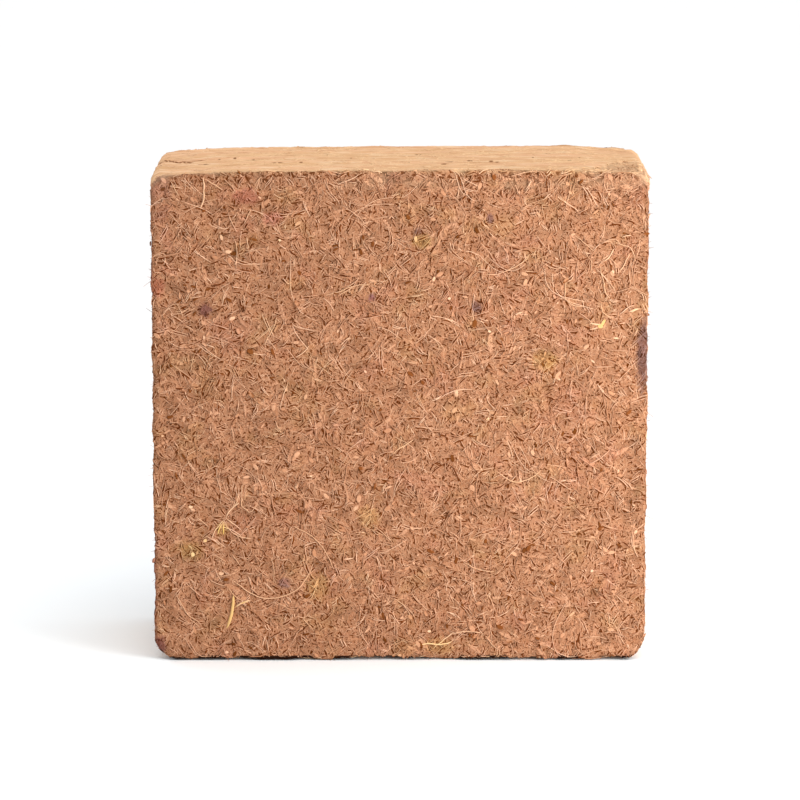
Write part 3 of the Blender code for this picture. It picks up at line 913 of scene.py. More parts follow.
def stroke_group():
    """A shader group: in each cell a short bowed fibre, and in some a narrow hollow of painted shade beside it."""
    group = bpy.data.node_groups.new("fibre_strokes", "ShaderNodeTree")
    labels = ("Vector", "Spacing", "Width", "Bow", "Hollow")
    for label in labels:
        kind = "NodeSocketVector" if label == "Vector" else "NodeSocketFloat"
        group.interface.new_socket(label, in_out="INPUT", socket_type=kind)
    for label in ("Fibre", "Hollow", "Tone"):
        group.interface.new_socket(label, in_out="OUTPUT", socket_type="NodeSocketFloat")
    t = Tree(group)
    place, spacing, width, bow, hollow_half = t.add("NodeGroupInput", out=labels)
    half = width * 0.5
    cell, middle = t.add("ShaderNodeTexVoronoi", {"Vector": place, "Scale": 1.0 / spacing},
                         out=("Color", "Position"), voronoi_dimensions="2D")
    swirl = t.noise(middle, SWIRL_SCALE * MM, 1.0) - 0.5
    way = (cell.x - 0.5) * STROKE_SPREAD + (swirl * (SWIRL_TURN * FACE_SWIRL) + FACE_WAY)
    turned = t.add("ShaderNodeVectorRotate", {"Vector": place - middle, "Angle": -way}, rotation_type="Z_AXIS")
    along = turned.x
    off = turned.y + along * along * ((cell.y - 0.5) * bow) / spacing
    reach = abs(along) / (spacing * 0.5)
    fibre = t.ease(abs(off), half, half * 0.35) * t.ease(reach, 1.04, 0.88)
    far = hollow_half * 2.0 * (1.0 - reach * reach * 2.0) + half
    hollow = t.ease(off, half - 0.1, half + 0.05) * t.ease(off, far, far - hollow_half * 0.4)
    chosen = t.math("FRACT", cell.x * 7.3)
    hollow = hollow * t.ease(chosen, HOLLOW_SHARE, HOLLOW_SHARE - 0.2)
    t.node("NodeGroupOutput", {"Fibre": fibre, "Hollow": hollow, "Tone": cell.z})
    return group


def face_base(t, settings, place):
    """The large faces' even ground colour."""
    tone = t.noise(place, CLOUD_SCALE, 2.0) * 0.6 + t.noise(place, GRAIN_SCALE, 2.0, 0.6) * 0.4
    return t.mix(t.ease(tone, 0.35, 0.65), settings.face_dark, settings.face_light)


def face_marks(t, settings, place, colour):
    """Draws fibres over a colour, and crevices and pits in painted shade. Gives the new colour and the height."""
    behind = HALF.y - abs(place.y)
    flat = t.xyz(place.x + behind, place.z + behind, place.y) * (1 / MM)
    warped = flat + t.noise(flat, 0.35, 1.0, out="Color") * 0.4
    strokes = stroke_group()
    shift_x, shift_y = STROKE_SHIFT
    height = 0.0
    for number, (spacing, width, bow, hollow_half, fibre_strength, hollow_strength) in enumerate(STROKES):
        fibre, hollow, tone = t.add("ShaderNodeGroup", {
            "Vector": warped + (shift_x * number, shift_y * number, 0.0), "Spacing": spacing, "Width": width,
            "Bow": bow, "Hollow": hollow_half}, out=("Fibre", "Hollow", "Tone"), node_tree=strokes)
        # The hollow beside a drawn fibre is painted shade; it also sinks in the bumps.
        colour = t.mix(hollow * hollow_strength, colour, settings.face_pit_shade)
        colour = t.mix(fibre * fibre_strength, colour, t.mix(tone, settings.face_light, settings.face_fibre))
        height = height + (fibre - hollow)
    # Pits, and holes a little below the top rim as under a lip, are painted shade; they also sink in the bumps.
    cell, away = t.add("ShaderNodeTexVoronoi", {"Vector": warped, "Scale": 0.30}, out=("Color", "Distance"),
                       voronoi_dimensions="2D")
    pit = t.ease(away, 0.24, 0.12) * t.ease(cell.z, 0.66, 0.70)
    below_rim = t.ease(place.z, TOP - 11 * MM, TOP - 6 * MM) * t.ease(place.z, TOP - 0.5 * MM, TOP - 2 * MM)
    below_rim = below_rim * t.ease(place.y, BLOCK_LOW.y + 6 * MM, BLOCK_LOW.y + 3 * MM)
    pit = t.math("MAXIMUM", pit, t.ease(t.noise(place, HOLE_SCALE, 2.0), 0.53, 0.60) * below_rim)
    return t.mix(pit * 0.85, colour, settings.face_pit_shade), height - pit * 2.0


def stain_and_shade_mask(t, place, centre, radius, ragged=1.1):
    """How strongly a stain, and likewise a mark of painted shade, shows: it fades out raggedly."""
    reach = t.add("ShaderNodeVectorMath", {0: (place - centre) / radius}, out="Value", operation="LENGTH")
    return t.ease((t.noise(place, STAIN_AND_SHADE_SCALE, 3.0, 0.7) - 0.5) * ragged + reach, 1.0, 0.4)


def patched(t, place, colour):
    """Adds broad golden and russet patches, the top's tones, painted shade by the floor, and the front's stains and
    shade.
    """
    colour = t.tinted(t.ease(t.noise(place, GOLDEN_SCALE, 2.0), 0.54, 0.72) * 0.4, colour, GOLDEN_TINT)
    colour = t.tinted(t.ease(t.noise(place, RUSSET_SCALE, 2.0), 0.44, 0.28) * 0.6, colour, RUSSET_TINT)
    on_top = t.ease(abs(place.y), HALF.y - 1 * MM, HALF.y - 4 * MM)
    on_top = on_top * t.ease(place.z, TOP - 1.2 * CORNER_RADIUS, TOP - 0.4 * CORNER_RADIUS)
    colour = t.mix(on_top * 0.85, colour, TOP_MATTED)
    colour = t.tinted(t.ease(place.z, TOP - 4 * MM, TOP - 1 * MM) * 0.8, colour, RIM_TINT)
    # Painted shade along the foot next to the floor, strongest over the gaps.
    over_gap = t.ease(gap_height(t, place), 0.1 * MM, 0.8 * MM, 0.12, 0.95)
    colour = t.tinted(t.ease(place.z, 2.0 * MM, 0.5 * MM) * over_gap, colour, FLOOR_SHADE_TINT)
    # Some of these marks are painted shade: along the left rim and in the bottom left corner.
    for _, (x, z), (half_x, half_z), tint, strength in STAINS_AND_SHADE:
        mask = stain_and_shade_mask(t, place, (x, BLOCK_LOW.y, z), (half_x, STAIN_AND_SHADE_REACH, half_z))
        colour = t.tinted(mask * strength, colour, tint)
    return colour


def side_colour(t, settings, place):
    """The narrow sides' colour and height: thin streaks along the layers, and painted shade in ticks, cracks, the
    step and marks.
    """
    unrolled = t.add("ShaderNodeUVMap", uv_map="block_map") * (1 / MM)
    u, v = unrolled.x, unrolled.y

    def streak(along, across, detail, roughness=0.6):
        return t.noise(t.xyz(u * along, v * across), 1.0, detail, roughness)

    fine = streak(0.05, 0.9, 4.0, 0.7)
    colour = t.mix(t.ease(fine, 0.36, 0.62), settings.side_dark, settings.side_light)
    for along, across, detail, low, high, strength, name in SIDE_STREAKS:
        mask = t.ease(streak(along, across, detail), low, high)
        colour = t.mix(mask * strength, colour, getattr(settings, name))
    height = fine * 0.8 - mask
    # Painted shade in the cracks of the narrow sides.
    ragged = (t.noise(place, CRACK_SCALE, 3.0) - 0.5) * 0.5
    colour = t.mix(t.ease(t.attribute("crack") + ragged, 0.25, 0.85), colour, settings.side_tick_shade)
    behind, shows = past_step(t, place)
    # Painted shade along the step's crack near the left end of the top.
    near_step = t.ease(abs(behind + 0.5 * MM), 1.1 * MM, 0.4 * MM)
    colour = t.mix(near_step * shows, colour, settings.side_crack_shade)
    # The top's marks are painted shade of small voids and ledges.
    for x, y, half_length, half_depth in TOP_SHADE_MARKS:
        mark = stain_and_shade_mask(t, place, (x * MM, BLOCK_LOW.y + y * MM, TOP),
                          (half_length * MM, half_depth * MM, STAIN_AND_SHADE_REACH), 0.5)
        colour = t.mix(mark * 0.95, colour, settings.side_crack_shade)
    return colour, height


def skin_material(settings):
    """Matted pith and fibre on the large faces, smooth streaked layers on the narrow sides."""
    material, t, shader = new_material("pressed_coir_skin", 0.95, 0.0)
    place = t.object_place()
    colour, height = face_marks(t, settings, place, face_base(t, settings, place))
    # Painted shade on the skin between the flakes.
    colour = t.mix(settings.face_depth, patched(t, place, colour), settings.face_pit_shade)
    # Painted shade: the skin is darker where its relief sinks deeper.
    colour = colour * t.ease(t.attribute("hollow"), 0.2 * MM, 1.8 * MM, 1.0, 0.55)
    streaks, streak_height = side_colour(t, settings, place)
    ragged = (t.noise(place, RAGGED_SCALE, 3.0, 0.7) - 0.5) * settings.wrap_raggedness
    on_side = t.ease(t.attribute("beyond") + ragged, -0.4 * MM, 0.4 * MM)
    colour = t.mix(on_side, colour, streaks)
    # Painted shade on the wall of skin inside the gaps under the foot.
    gap = gap_height(t, place, GAP_WALL_REACH)
    in_gap = t.ease(gap, *GAP_SHOWS) * t.ease(place.z - gap, 0.6 * MM, 0.1 * MM)
    colour = t.mix(in_gap, colour, settings.gap_shade_colour)
    cover(t, shader, colour, 0.4, 0.3 * MM, t.blend(on_side, height, streak_height))
    return material


def pith_material(settings):
    """Flakes of pith: the same matted colours, a little clearer, each flake with its own tone and painted shade on
    its edge.
    """
    material, t, shader = new_material("pith_flake", 0.95, 0.0)
    place = t.object_place()
    own = t.ramp(t.attribute("tint"), PITH_COLOURS)
    marked, height = face_marks(t, settings, place, own)
    colour = patched(t, place, t.mix(settings.flake_clearness, marked, own))
    # Painted shade down the flake's sides.
    colour = t.mix(t.ease(t.attribute("depth"), 0.1, 0.7, 0.0, 0.5), colour, settings.face_pit_shade)
    cover(t, shader, colour, 0.4, 0.3 * MM, height)
    return material


def fibre_material(name, colours):
    """Fibre colour from each fibre's own tint, a little uneven along its length."""
    material, t, shader = new_material(name, 0.8, 0.03)
    place = t.object_place()
    uneven = (t.noise(place, FIBRE_TONE_SCALE, 1.0) - 0.5) * 0.25
    colour = patched(t, place, t.ramp(t.attribute("tint") + uneven, colours))
    cover(t, shader, colour, 0.2, 0.1 * MM, t.noise(place, FIBRE_GRAIN_SCALE, 2.0))
    return material


class CoirBlockSettings(bpy.types.PropertyGroup):
    """The block's skin."""

    face_cell: length_setting("Face cell", "Net size on the large faces", 2.05 * MM)
    row_gap: length_setting("Row gap", "Net size across the narrow sides", 1.9 * MM)
    crack_row_gap: length_setting("Crack row gap", "Net size across the narrow sides near a crack", 0.65 * MM)
    crack_reach: length_setting("Crack reach", "How far from its level a crack may wander", 2.4 * MM)
    wrap_blend: length_setting("Wrap blend", "Over what width the matted skin gives way to the side's", 3.5 * MM)
    wrap_raggedness: length_setting("Wrap raggedness", "How ragged the matted skin's end is", 17 * MM)
    rim_width: length_setting("Rim width", "How far the worn rim reaches in", 8 * MM)
    lump_size: length_setting("Lump size", "Span of the lumps of the large faces", 11 * MM)
    lump_depth: length_setting("Lump depth", "Depth between the lumps", 0.7 * MM)
    flake_size: length_setting("Flake size", "Span of the flakes of pith", 6 * MM)
    flake_depth: length_setting("Flake depth", "Step between two flakes", 0.6 * MM)
    pit_size: length_setting("Pit spacing", "Distance between pits", 8 * MM)
    pit_depth: length_setting("Pit depth", "Depth of the pits", 1.2 * MM)
    ledge_size: length_setting("Ledge size", "Height of the layers of the narrow sides", 7 * MM)
    ledge_depth: length_setting("Ledge depth", "Step between two layers", 0.35 * MM)
    rim_depth: length_setting("Rim depth", "How ragged the rims are", 0.6 * MM)
    rim_swell: length_setting("Rim swell", "How far loose matter stands out along the rims", 0.7 * MM)
    face_dark: colour_setting("Face, dark", "Darker pith", (0.340, 0.143, 0.070))
    face_light: colour_setting("Face, light", "Lighter pith", (0.438, 0.207, 0.112))
    face_fibre: colour_setting("Face, fibres", "Fibres drawn on the skin", (0.711, 0.408, 0.252))
    # Painted shade: the dark colour of the pits, the hollows beside drawn fibres, the skin between flakes and the
    # flakes' edges.
    face_pit_shade: colour_setting("Face, pits", "Bottom of the pits and crevices", (0.105, 0.023, 0.003))
    # Painted shade between the flakes: how far the skin's colour goes towards the pits' dark colour.
    face_depth: number_setting("Face depth", "How dark the skin is between the flakes", 0.15, subtype="FACTOR")
    flake_clearness: number_setting("Flake clearness", "How smooth in colour a flake is", 0.35, subtype="FACTOR")
    side_dark: colour_setting("Side, dark", "Darker streaks", (0.520, 0.284, 0.140))
    side_light: colour_setting("Side, light", "Lighter streaks", (0.720, 0.452, 0.256))
    side_pink: colour_setting("Side, pink", "Broad pinkish bands", (0.680, 0.384, 0.228))
    side_pale: colour_setting("Side, pale", "Thin pale streaks", (0.776, 0.576, 0.384))
    side_brown: colour_setting("Side, brown", "Thin brown streaks", (0.464, 0.228, 0.120))
    # Painted shade in tiny voids and in the cracks.
    side_tick_shade: colour_setting("Side, ticks", "Short dark ticks", (0.300, 0.115, 0.045))
    # Painted shade in the step's crack and the top's marks.
    side_crack_shade: colour_setting("Side, cracks", "Cracks and deep marks", (0.220, 0.095, 0.040))
    # Painted shade inside the gaps.
    gap_shade_colour: colour_setting("Gap", "Inside the gaps under the foot's long edges", (0.020, 0.007, 0.004))


class COIR_OT_block(bpy.types.Operator):
    """Makes the block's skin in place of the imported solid"""

    bl_idname = "coir.block"
    bl_label = "Block"

    def execute(self, context):
        settings = context.scene.coir_block
        block = make_piece("coir_block", skin_mesh(settings), relief_tree(), {
            **tree_values(settings), "Material": skin_material(settings)})
        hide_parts(NODE)
        return {"FINISHED"}


# The inputs of the trees that set pieces on one zone of the skin.
MAT_NUMBERS = ("Density", "Shortest", "Longest", "Rarity", "Thickness", "Way", "Swirl", "Gather", "Rim Limit")


def scatter_on_zone(t):
    """Points on one zone of the skin, and a turn at each: Z outwards, X along the way most pieces follow."""
    chosen = t.add("FunctionNodeCompare", {"A": t.named("zone", "INT"), "B": t.entry("Zone")},
                   data_type="INT", operation="EQUAL")
    limit = t.entry("Rim Limit")
    off_rim = t.ease(t.named("rim"), limit, limit + 0.3, 1.0, 0.0)
    points, outward = t.scatter(chosen, t.entry("Density") * off_rim)
    layer_way = t.math("CROSS_PRODUCT", (0.0, 1.0, 0.0), outward) + (0.01, 0.0, 0.0)
    upright = t.add("FunctionNodeAlignRotationToVector", {"Vector": outward}, axis="Z")
    turn = t.add("FunctionNodeAlignRotationToVector", {"Rotation": upright, "Vector": layer_way},
                 axis="X", pivot_axis="Z")
    swirl = (t.noise(t.place(), SWIRL_SCALE, 1.0) - 0.5) * SWIRL_TURN
    draw = t.random(-1.0, 1.0, 1)
    spread = draw * abs(draw) ** t.entry("Gather")
    return points, t.spun(turn, spread * (math.pi / 2) + (swirl * t.entry("Swirl") + t.entry("Way")))


def on_bed(t, skin, height):
    """The place on the bed of skin and flakes that lies over the nearest place on the skin, and so much higher."""
    place = t.place()
    near = t.add("GeometryNodeProximity", {"Geometry": skin, "Sample Position": place}, out="Position",
                 target_element="FACES")
    outward = t.add("GeometryNodeSampleNearestSurface", {"Mesh": skin, "Value": t.normal(),
                                                         "Sample Position": place}, data_type="FLOAT_VECTOR")
    hit, hit_place = t.add("GeometryNodeRaycast", {
        "Target Geometry": t.geometry_of("Bed"), "Source Position": near + outward * BED_HEIGHT,
        "Ray Direction": -outward, "Ray Length": 2 * BED_HEIGHT}, out=("Is Hit", "Hit Position"))
    base = t.add("GeometryNodeSwitch", {"Switch": hit, "False": near, "True": hit_place}, input_type="VECTOR")
    return above_ground(t, base + outward * height)


def bundle_of_lines(t, bundle):
    """One instance that holds the straight lines of a bundle."""
    lines = []
    for start, end, aside, dark in bundle:
        line = t.add("GeometryNodeCurvePrimitiveLine", {"Start": (start, aside, 0.0), "End": (end, aside, 0.0)})
        lines.append(t.store(line, "dark", dark))
    even = t.add("GeometryNodeResampleCurve", {"Curve": t.join(lines), "Count": t.entry("Points")})
    return t.add("GeometryNodeGeometryToInstance", {"Geometry": even})


def fibre_mat_tree():
    """Fibres that lie on the bed: bowed, woven in and out of it, with their ends sunk in."""
    t = ShapeTree("fibre_mat", (*MAT_NUMBERS, "Bow", "Gap", "Lift", "Weave", "Sink"), ("Zone", "Seed", "Points"),
                  ("Bed",))
    points, turn = scatter_on_zone(t)
    length = t.random_length()
    reach = length * t.entry("Bow")
    points = t.store(points, "sideways", t.aimed((0.0, 1.0, 0.0), turn), "FLOAT_VECTOR")
    for name, value in {"bow": reach * t.random(-1.0, 1.0, 3), "swing": reach * t.random(-0.7, 0.7, 4),
                        "rise": t.entry("Lift") * t.random(-0.3, 1.0, 5),
                        "girth": t.entry("Thickness") * t.random(0.34, 0.62, 6),
                        "tint": t.random(0.0, 1.0, 7)}.items():
        points = t.store(points, name, value)
    kinds = t.join([bundle_of_lines(t, bundle) for bundle in reversed(BUNDLES)])
    choice = t.add("FunctionNodeRandomValue", {"Min": 0, "Max": len(BUNDLES) - 1, "Seed": t.entry("Seed")},
                   data_type="INT")
    fibres = t.instances(points, kinds, turn, t.xyz(length, t.entry("Gap"), 1.0), choice)

    # A low arch that is bowed aside, weaves in and out and ends below the skin. The dark ones, partly painted shade,
    # lie flat.
    u = t.add("GeometryNodeSplineParameter") * 2.0 - 1.0
    hump, tip = 1.0 - u * u, abs(u) ** 4.0
    dark, tint = t.named("dark"), t.named("tint")
    aside = t.named("bow") * hump + t.named("swing") * hump * u
    fibres = t.shift(fibres, t.named("sideways", "FLOAT_VECTOR") * aside)
    weave = (t.noise(t.place(), WEAVE_SCALE, 1.0) - 0.5) * t.entry("Weave")
    height = (t.named("rise") * hump + weave) * (1.0 - dark) - tip * t.entry("Sink")
    fibres = t.move(fibres, on_bed(t, t.entry("Geometry"), height))
    own = tint * (1.0 - PALE_FROM) + PALE_FROM
    fibres = t.store(fibres, "tint", t.blend(dark, own, tint * DARK_UP_TO))
    girth = t.named("girth") * (tip * -0.55 + 1.0) * (dark * 0.7 + 1.0)
    return t.finish(t.tubes(fibres, girth, FIBRE_CORNERS, "sideways", "bow", "swing", "rise", "girth", "dark"))


def flake_cone(t, top_radius):
    """A flake, one across and one thick, with its top at zero."""
    cone = t.add("GeometryNodeMeshCone", {"Vertices": FLAKE_CORNERS, "Radius Top": top_radius,
                                          "Radius Bottom": 0.5, "Depth": 1.0})
    return t.add("GeometryNodeTransform", {"Geometry": cone, "Translation": (0.0, 0.0, -1.0)})


def frayed(t, geometry, scale, across):
    """Shifts each point at random, less across the skin."""
    shift = (t.noise(t.place(), scale, 2.0, 0.7, out="Color") - (0.5, 0.5, 0.5)) * (1.0, across, 1.0)
    return t.move(geometry, above_ground(t, t.place() + shift * t.entry("Ragged")))


def flake_tree():
    """Flat flakes of pith that lie in the skin, each turned and leaning a little."""
    t = ShapeTree("pith_flakes", (*MAT_NUMBERS, "Narrowest", "Widest", "Tilt", "Stand", "Ragged"),
                  ("Zone", "Seed"))
    points, turn = scatter_on_zone(t)
    lean = t.xyz(t.random(-1.0, 1.0, 3), t.random(-1.0, 1.0, 4)) * t.entry("Tilt")
    turn = t.turned(turn, t.add("FunctionNodeEulerToRotation", {"Euler": lean}))
    length = t.random_length()
    width = length * t.random(t.entry("Narrowest"), t.entry("Widest"), 5)
    points = t.store(points, "tint", t.random(0.0, 1.0, 6))
    stand = t.entry("Stand") * t.random(0.1, 1.0, 8)
    points = t.shift(points, t.aimed((0.0, 0.0, 1.0), turn) * stand)
    flake = t.store(flake_cone(t, FLAKE_TOP), "depth", -t.place().z)
    flakes = t.instances(points, flake, turn, t.xyz(length, width, t.entry("Thickness")))
    return t.finish(frayed(t, flakes, FLAKE_FRAY_SCALE, 0.22))


class CoirFlakeSettings(bpy.types.PropertyGroup):
    """The flakes of pith and the small crumbs."""

    density: number_setting("Density", "Flakes to the square metre", 16000.0)
    shortest: length_setting("Shortest", "Length of the smallest flakes", 4 * MM)
    longest: length_setting("Longest", "Length of the largest flakes", 15 * MM)
    rarity: number_setting("Rarity", "How rare large flakes are", 1.5)
    thickness: length_setting("Thickness", "How thick a flake is", 0.6 * MM)
    tilt: number_setting("Tilt", "How far a flake leans", math.radians(5), subtype="ANGLE")
    stand: length_setting("Stand", "How far a flake may stand over the skin", 0.3 * MM)
    crumb_density: number_setting("Crumb density", "Crumbs to the square metre", 15000.0)
    crumb_shortest: length_setting("Shortest crumb", "Length of the smallest crumbs", 1.2 * MM)
    crumb_longest: length_setting("Longest crumb", "Length of the largest crumbs", 5.5 * MM)


class COIR_OT_flakes(bpy.types.Operator):
    """Sets the flakes of pith and the crumbs in the large faces"""

    bl_idname = "coir.flakes"
    bl_label = "Pith flakes"

    def execute(self, context):
        settings = context.scene.coir_flakes
        flakes = {"Narrowest": 0.10, "Widest": 0.32, "Ragged": 1.6 * MM, "Rim Limit": 0.15,
                  "Material": pith_material(context.scene.coir_block)}
        crumbs = {"Density": settings.crumb_density, "Shortest": settings.crumb_shortest,
                  "Longest": settings.crumb_longest, "Rarity": 2.2, "Narrowest": 0.25, "Widest": 0.60,
                  "Tilt": math.radians(10), "Stand": 0.9 * MM, "Ragged": 1.2 * MM, "Rim Limit": 0.6,
                  "Material": fibre_material("coir_crumb", CRUMB_COLOURS)}
        lay_pieces(flake_tree(), {**tree_values(settings), **FACE_HEADING},
                   ("flakes_front", FRONT, 53, flakes), ("flakes_back", BACK, 67, flakes),
                   ("crumbs_front", FRONT, 71, crumbs), ("crumbs_back", BACK, 79, crumbs))
        return {"FINISHED"}


class CoirFibreSettings(bpy.types.PropertyGroup):
    """The mats of fibres on the large faces."""

    short_density: number_setting("Short fibres", "Bundles of short fibres to the square metre", 46000.0)
    short_longest: length_setting("Longest short fibre", "Length of the longest short fibres", 11 * MM)
    medium_density: number_setting("Medium fibres", "Bundles of medium fibres to the square metre", 33000.0)
    medium_longest: length_setting("Longest medium fibre", "Length of the longest medium fibres", 25 * MM)
    long_density: number_setting("Long fibres", "Bundles of long fibres to the square metre", 850.0)
    long_longest: length_setting("Longest long fibre", "Length of the longest fibres", 55 * MM)
    thickness: length_setting("Thickness", "Thickness of a common fibre", 0.5 * MM)
    lift: length_setting("Lift", "How far a fibre arches off the bed", 0.5 * MM)
    weave: length_setting("Weave", "How far a fibre weaves in and out of the bed", 0.5 * MM)
    sink: length_setting("Sink", "How far its ends are sunk in", 0.35 * MM)
    gap: length_setting("Gap", "Distance between fibres that lie side by side", 0.62 * MM)


class COIR_OT_fibres(bpy.types.Operator):
    """Lays the mats of fibres on the large faces"""

    bl_idname = "coir.fibres"
    bl_label = "Face fibres"

    def execute(self, context):
        settings = context.scene.coir_fibres
        bed = make_bed()
        short = {"Density": settings.short_density, "Shortest": 3.0 * MM, "Longest": settings.short_longest,
                 "Rarity": 1.5, "Bow": 0.10, "Points": 3}
        medium = {"Density": settings.medium_density, "Shortest": 6 * MM, "Longest": settings.medium_longest,
                  "Rarity": 2.4, "Bow": 0.13, "Points": 5}
        long = {"Density": settings.long_density, "Shortest": 14 * MM, "Longest": settings.long_longest,
                "Rarity": 2.4, "Bow": 0.26, "Points": 11, "Gather": 0.0, "Thickness": 0.8 * settings.thickness}
        values = {**tree_values(settings), **FACE_HEADING, "Rim Limit": 1.0, "Bed": bed,
                  "Material": fibre_material("coir_fibre", FIBRE_COLOURS)}
        lay_pieces(fibre_mat_tree(), values,
                   ("fibres_front_short", FRONT, 11, short), ("fibres_front_medium", FRONT, 13, medium),
                   ("fibres_front_long", FRONT, 17, long), ("fibres_back_short", BACK, 23, short),
                   ("fibres_back_medium", BACK, 29, medium), ("fibres_back_long", BACK, 31, long))
        drop_bed(bed)
        return {"FINISHED"}


class CoirSideFibreSettings(bpy.types.PropertyGroup):
    """The flatter fibres on the narrow sides."""

    density: number_setting("Density", "Bundles to the square metre", 25000.0)
    longest: length_setting("Longest", "Length of the longest fibres", 26 * MM)
    thickness: length_setting("Thickness", "Thickness of a common fibre", 0.36 * MM)
    lift: length_setting("Lift", "How far a fibre arches off the skin", 0.12 * MM)
    weave: length_setting("Weave", "How far a fibre weaves in and out of the skin", 0.5 * MM)


class COIR_OT_side_fibres(bpy.types.Operator):
    """Lays the flat fibres along the layers of the narrow sides and under the foot"""

    bl_idname = "coir.side_fibres"
    bl_label = "Side fibres"

    def execute(self, context):
        values = {**tree_values(context.scene.coir_side_fibres), "Shortest": 2.5 * MM, "Rarity": 3.0,
                  "Sink": 0.25 * MM, "Gap": 0.6 * MM, "Way": 0.0, "Swirl": 0.0, "Gather": 4.0, "Rim Limit": 1.0,
                  "Bow": 0.08, "Points": 4, "Bed": bpy.data.objects["coir_block"],
                  "Material": fibre_material("side_fibre", SIDE_FIBRE_COLOURS)}
        lay_pieces(fibre_mat_tree(), values, ("fibres_sides", SIDES, 37, {}), ("fibres_foot", FOOT, 41, {}))
        return {"FINISHED"}


def strand_tree():
    """Named strands: smooth curves laid on the bed."""
    t = ShapeTree("named_strands", ("Weave", "Sink", "Step"), objects=("Bed", "Skin"))
    curves = t.add("GeometryNodeMeshToCurve", {"Mesh": t.entry("Geometry")})
    curves = t.add("GeometryNodeCurveSplineType", {"Curve": curves}, spline_type="CATMULL_ROM")
    curves = t.add("GeometryNodeResampleCurve", {"Curve": curves, "Length": t.entry("Step")}, mode="LENGTH")
    tip = abs(t.add("GeometryNodeSplineParameter") * 2.0 - 1.0) ** 6.0
    height = t.noise(t.place(), STRAND_SCALE, 1.0) * t.entry("Weave") - tip * t.entry("Sink")
    curves = t.move(curves, on_bed(t, t.geometry_of("Skin"), height))
    return t.finish(t.tubes(curves, t.named("girth") * (tip * -0.7 + 1.0), STRAND_CORNERS, "girth"))


def chip_tree():
    """Named chips: ragged flakes laid on the bed."""
    t = ShapeTree("named_chips", ("Thickness", "Ragged"), objects=("Bed", "Skin"))
    points = t.add("GeometryNodeMeshToPoints", {"Mesh": t.entry("Geometry")})
    points = t.move(points, on_bed(t, t.geometry_of("Skin"), 0.25 * MM))
    upright = t.add("FunctionNodeEulerToRotation", {"Euler": (math.pi / 2, 0.0, 0.0)})
    size = t.xyz(t.named("length"), t.named("width"), t.entry("Thickness"))
    chips = t.instances(points, flake_cone(t, CHIP_TOP), t.spun(upright, t.named("turn")), size)
    return t.finish(t.forget(frayed(t, chips, CHIP_FRAY_SCALE, 0.3), "length", "width", "turn"))


def point_mesh(name, places, edges, values):
    """A mesh of points and edges with numbers stored on its points."""
    mesh = bpy.data.meshes.new(name)
    mesh.from_pydata(places, edges, [])
    for label, numbers in values.items():
        mesh.attributes.new(label, "FLOAT", "POINT").data.foreach_set("value", numbers)
    return mesh


class CoirStrandSettings(bpy.types.PropertyGroup):
    """The long strands that stand out on the front."""

    thickness: number_setting("Thickness", "Thickness next to the listed one", 1.0)
    weave: length_setting("Weave", "How far a strand rises off the bed", 0.7 * MM)
    sink: length_setting("Sink", "How far its ends are sunk in", 0.6 * MM)
    step: length_setting("Step", "Distance between two points of a strand", 2.2 * MM)
    chip_thickness: length_setting("Chip thickness", "How thick a chip is", 1.1 * MM)


class COIR_OT_strands(bpy.types.Operator):
    """Lays the long strands and the pale chips that stand out on the front"""

    bl_idname = "coir.strands"
    bl_label = "Strands and chips"

    def execute(self, context):
        settings = context.scene.coir_strands
        bed = make_bed()
        places, edges, girths, tints = [], [], [], []
        for thickness, tint, course in STRANDS:
            first = len(places)
            places += [(x * MM, BLOCK_LOW.y, z * MM) for x, z in course]
            edges += [(first + i, first + i + 1) for i in range(len(course) - 1)]
            girths += [thickness * settings.thickness * MM / 2] * len(course)
            tints += [tint] * len(course)
        values = {**tree_values(settings), "Bed": bed, "Skin": bpy.data.objects["coir_block"],
                  "Material": fibre_material("straw_strand", STRAW_COLOURS)}
        strands = point_mesh("strands", places, edges, {"girth": girths, "tint": tints})
        make_piece("strands_front", strands, strand_tree(), values)

        x, z, length, width, turn, tint = np.array(CHIPS).T
        chips = point_mesh("chips", [(a * MM, BLOCK_LOW.y, b * MM) for a, b in zip(x, z)], [], {
            "length": length * MM, "width": width * MM, "turn": np.radians(turn), "tint": tint})
        make_piece("chips_front", chips, chip_tree(), {
            **values, "Thickness": settings.chip_thickness, "Ragged": 1.4 * MM})
        drop_bed(bed)
        return {"FINISHED"}


def fuzz_tree():
    """Stray ends that stick out of the rims."""
    t = ShapeTree("stray_ends", ("Density", "Shortest", "Longest", "Rarity", "Thickness", "Spread"), ("Seed",))
    near_rim = t.ease(t.named("rim"), 0.35, 0.8)
    off_top = t.ease(t.place().z, TOP - CORNER_RADIUS, TOP - 0.3 * CORNER_RADIUS, 1.0, 0.0)
    off_foot = t.math("LESS_THAN", t.named("foot"), 0.5)
    points, outward = t.scatter(off_foot, t.entry("Density") * (near_rim * off_top))
    way = t.math("NORMALIZE", outward + t.random_vector(3) * t.entry("Spread"))
    turn = t.add("FunctionNodeAlignRotationToVector", {"Vector": way}, axis="Z")
    length = t.random_length()
    points = t.store(points, "aside", t.random_vector(6) * (length * 0.35), "FLOAT_VECTOR")
    points = t.store(points, "tint", t.random(0.0, 1.0, 9))
    line = t.add("GeometryNodeCurvePrimitiveLine", {"Start": (0.0, 0.0, -STRAY_ROOT), "End": (0.0, 0.0, 1.0)})
    line = t.add("GeometryNodeResampleCurve", {"Curve": line, "Count": STRAY_POINTS})
    ends = t.instances(points, line, turn, t.xyz(1.0, 1.0, length))
    along = t.add("GeometryNodeSplineParameter")
    curl = t.named("aside", "FLOAT_VECTOR") * (along * along)
    ends = t.move(ends, above_ground(t, t.place() + curl))
    return t.finish(t.tubes(ends, t.entry("Thickness") * (along * -0.35 + 0.6), FIBRE_CORNERS, "aside"))


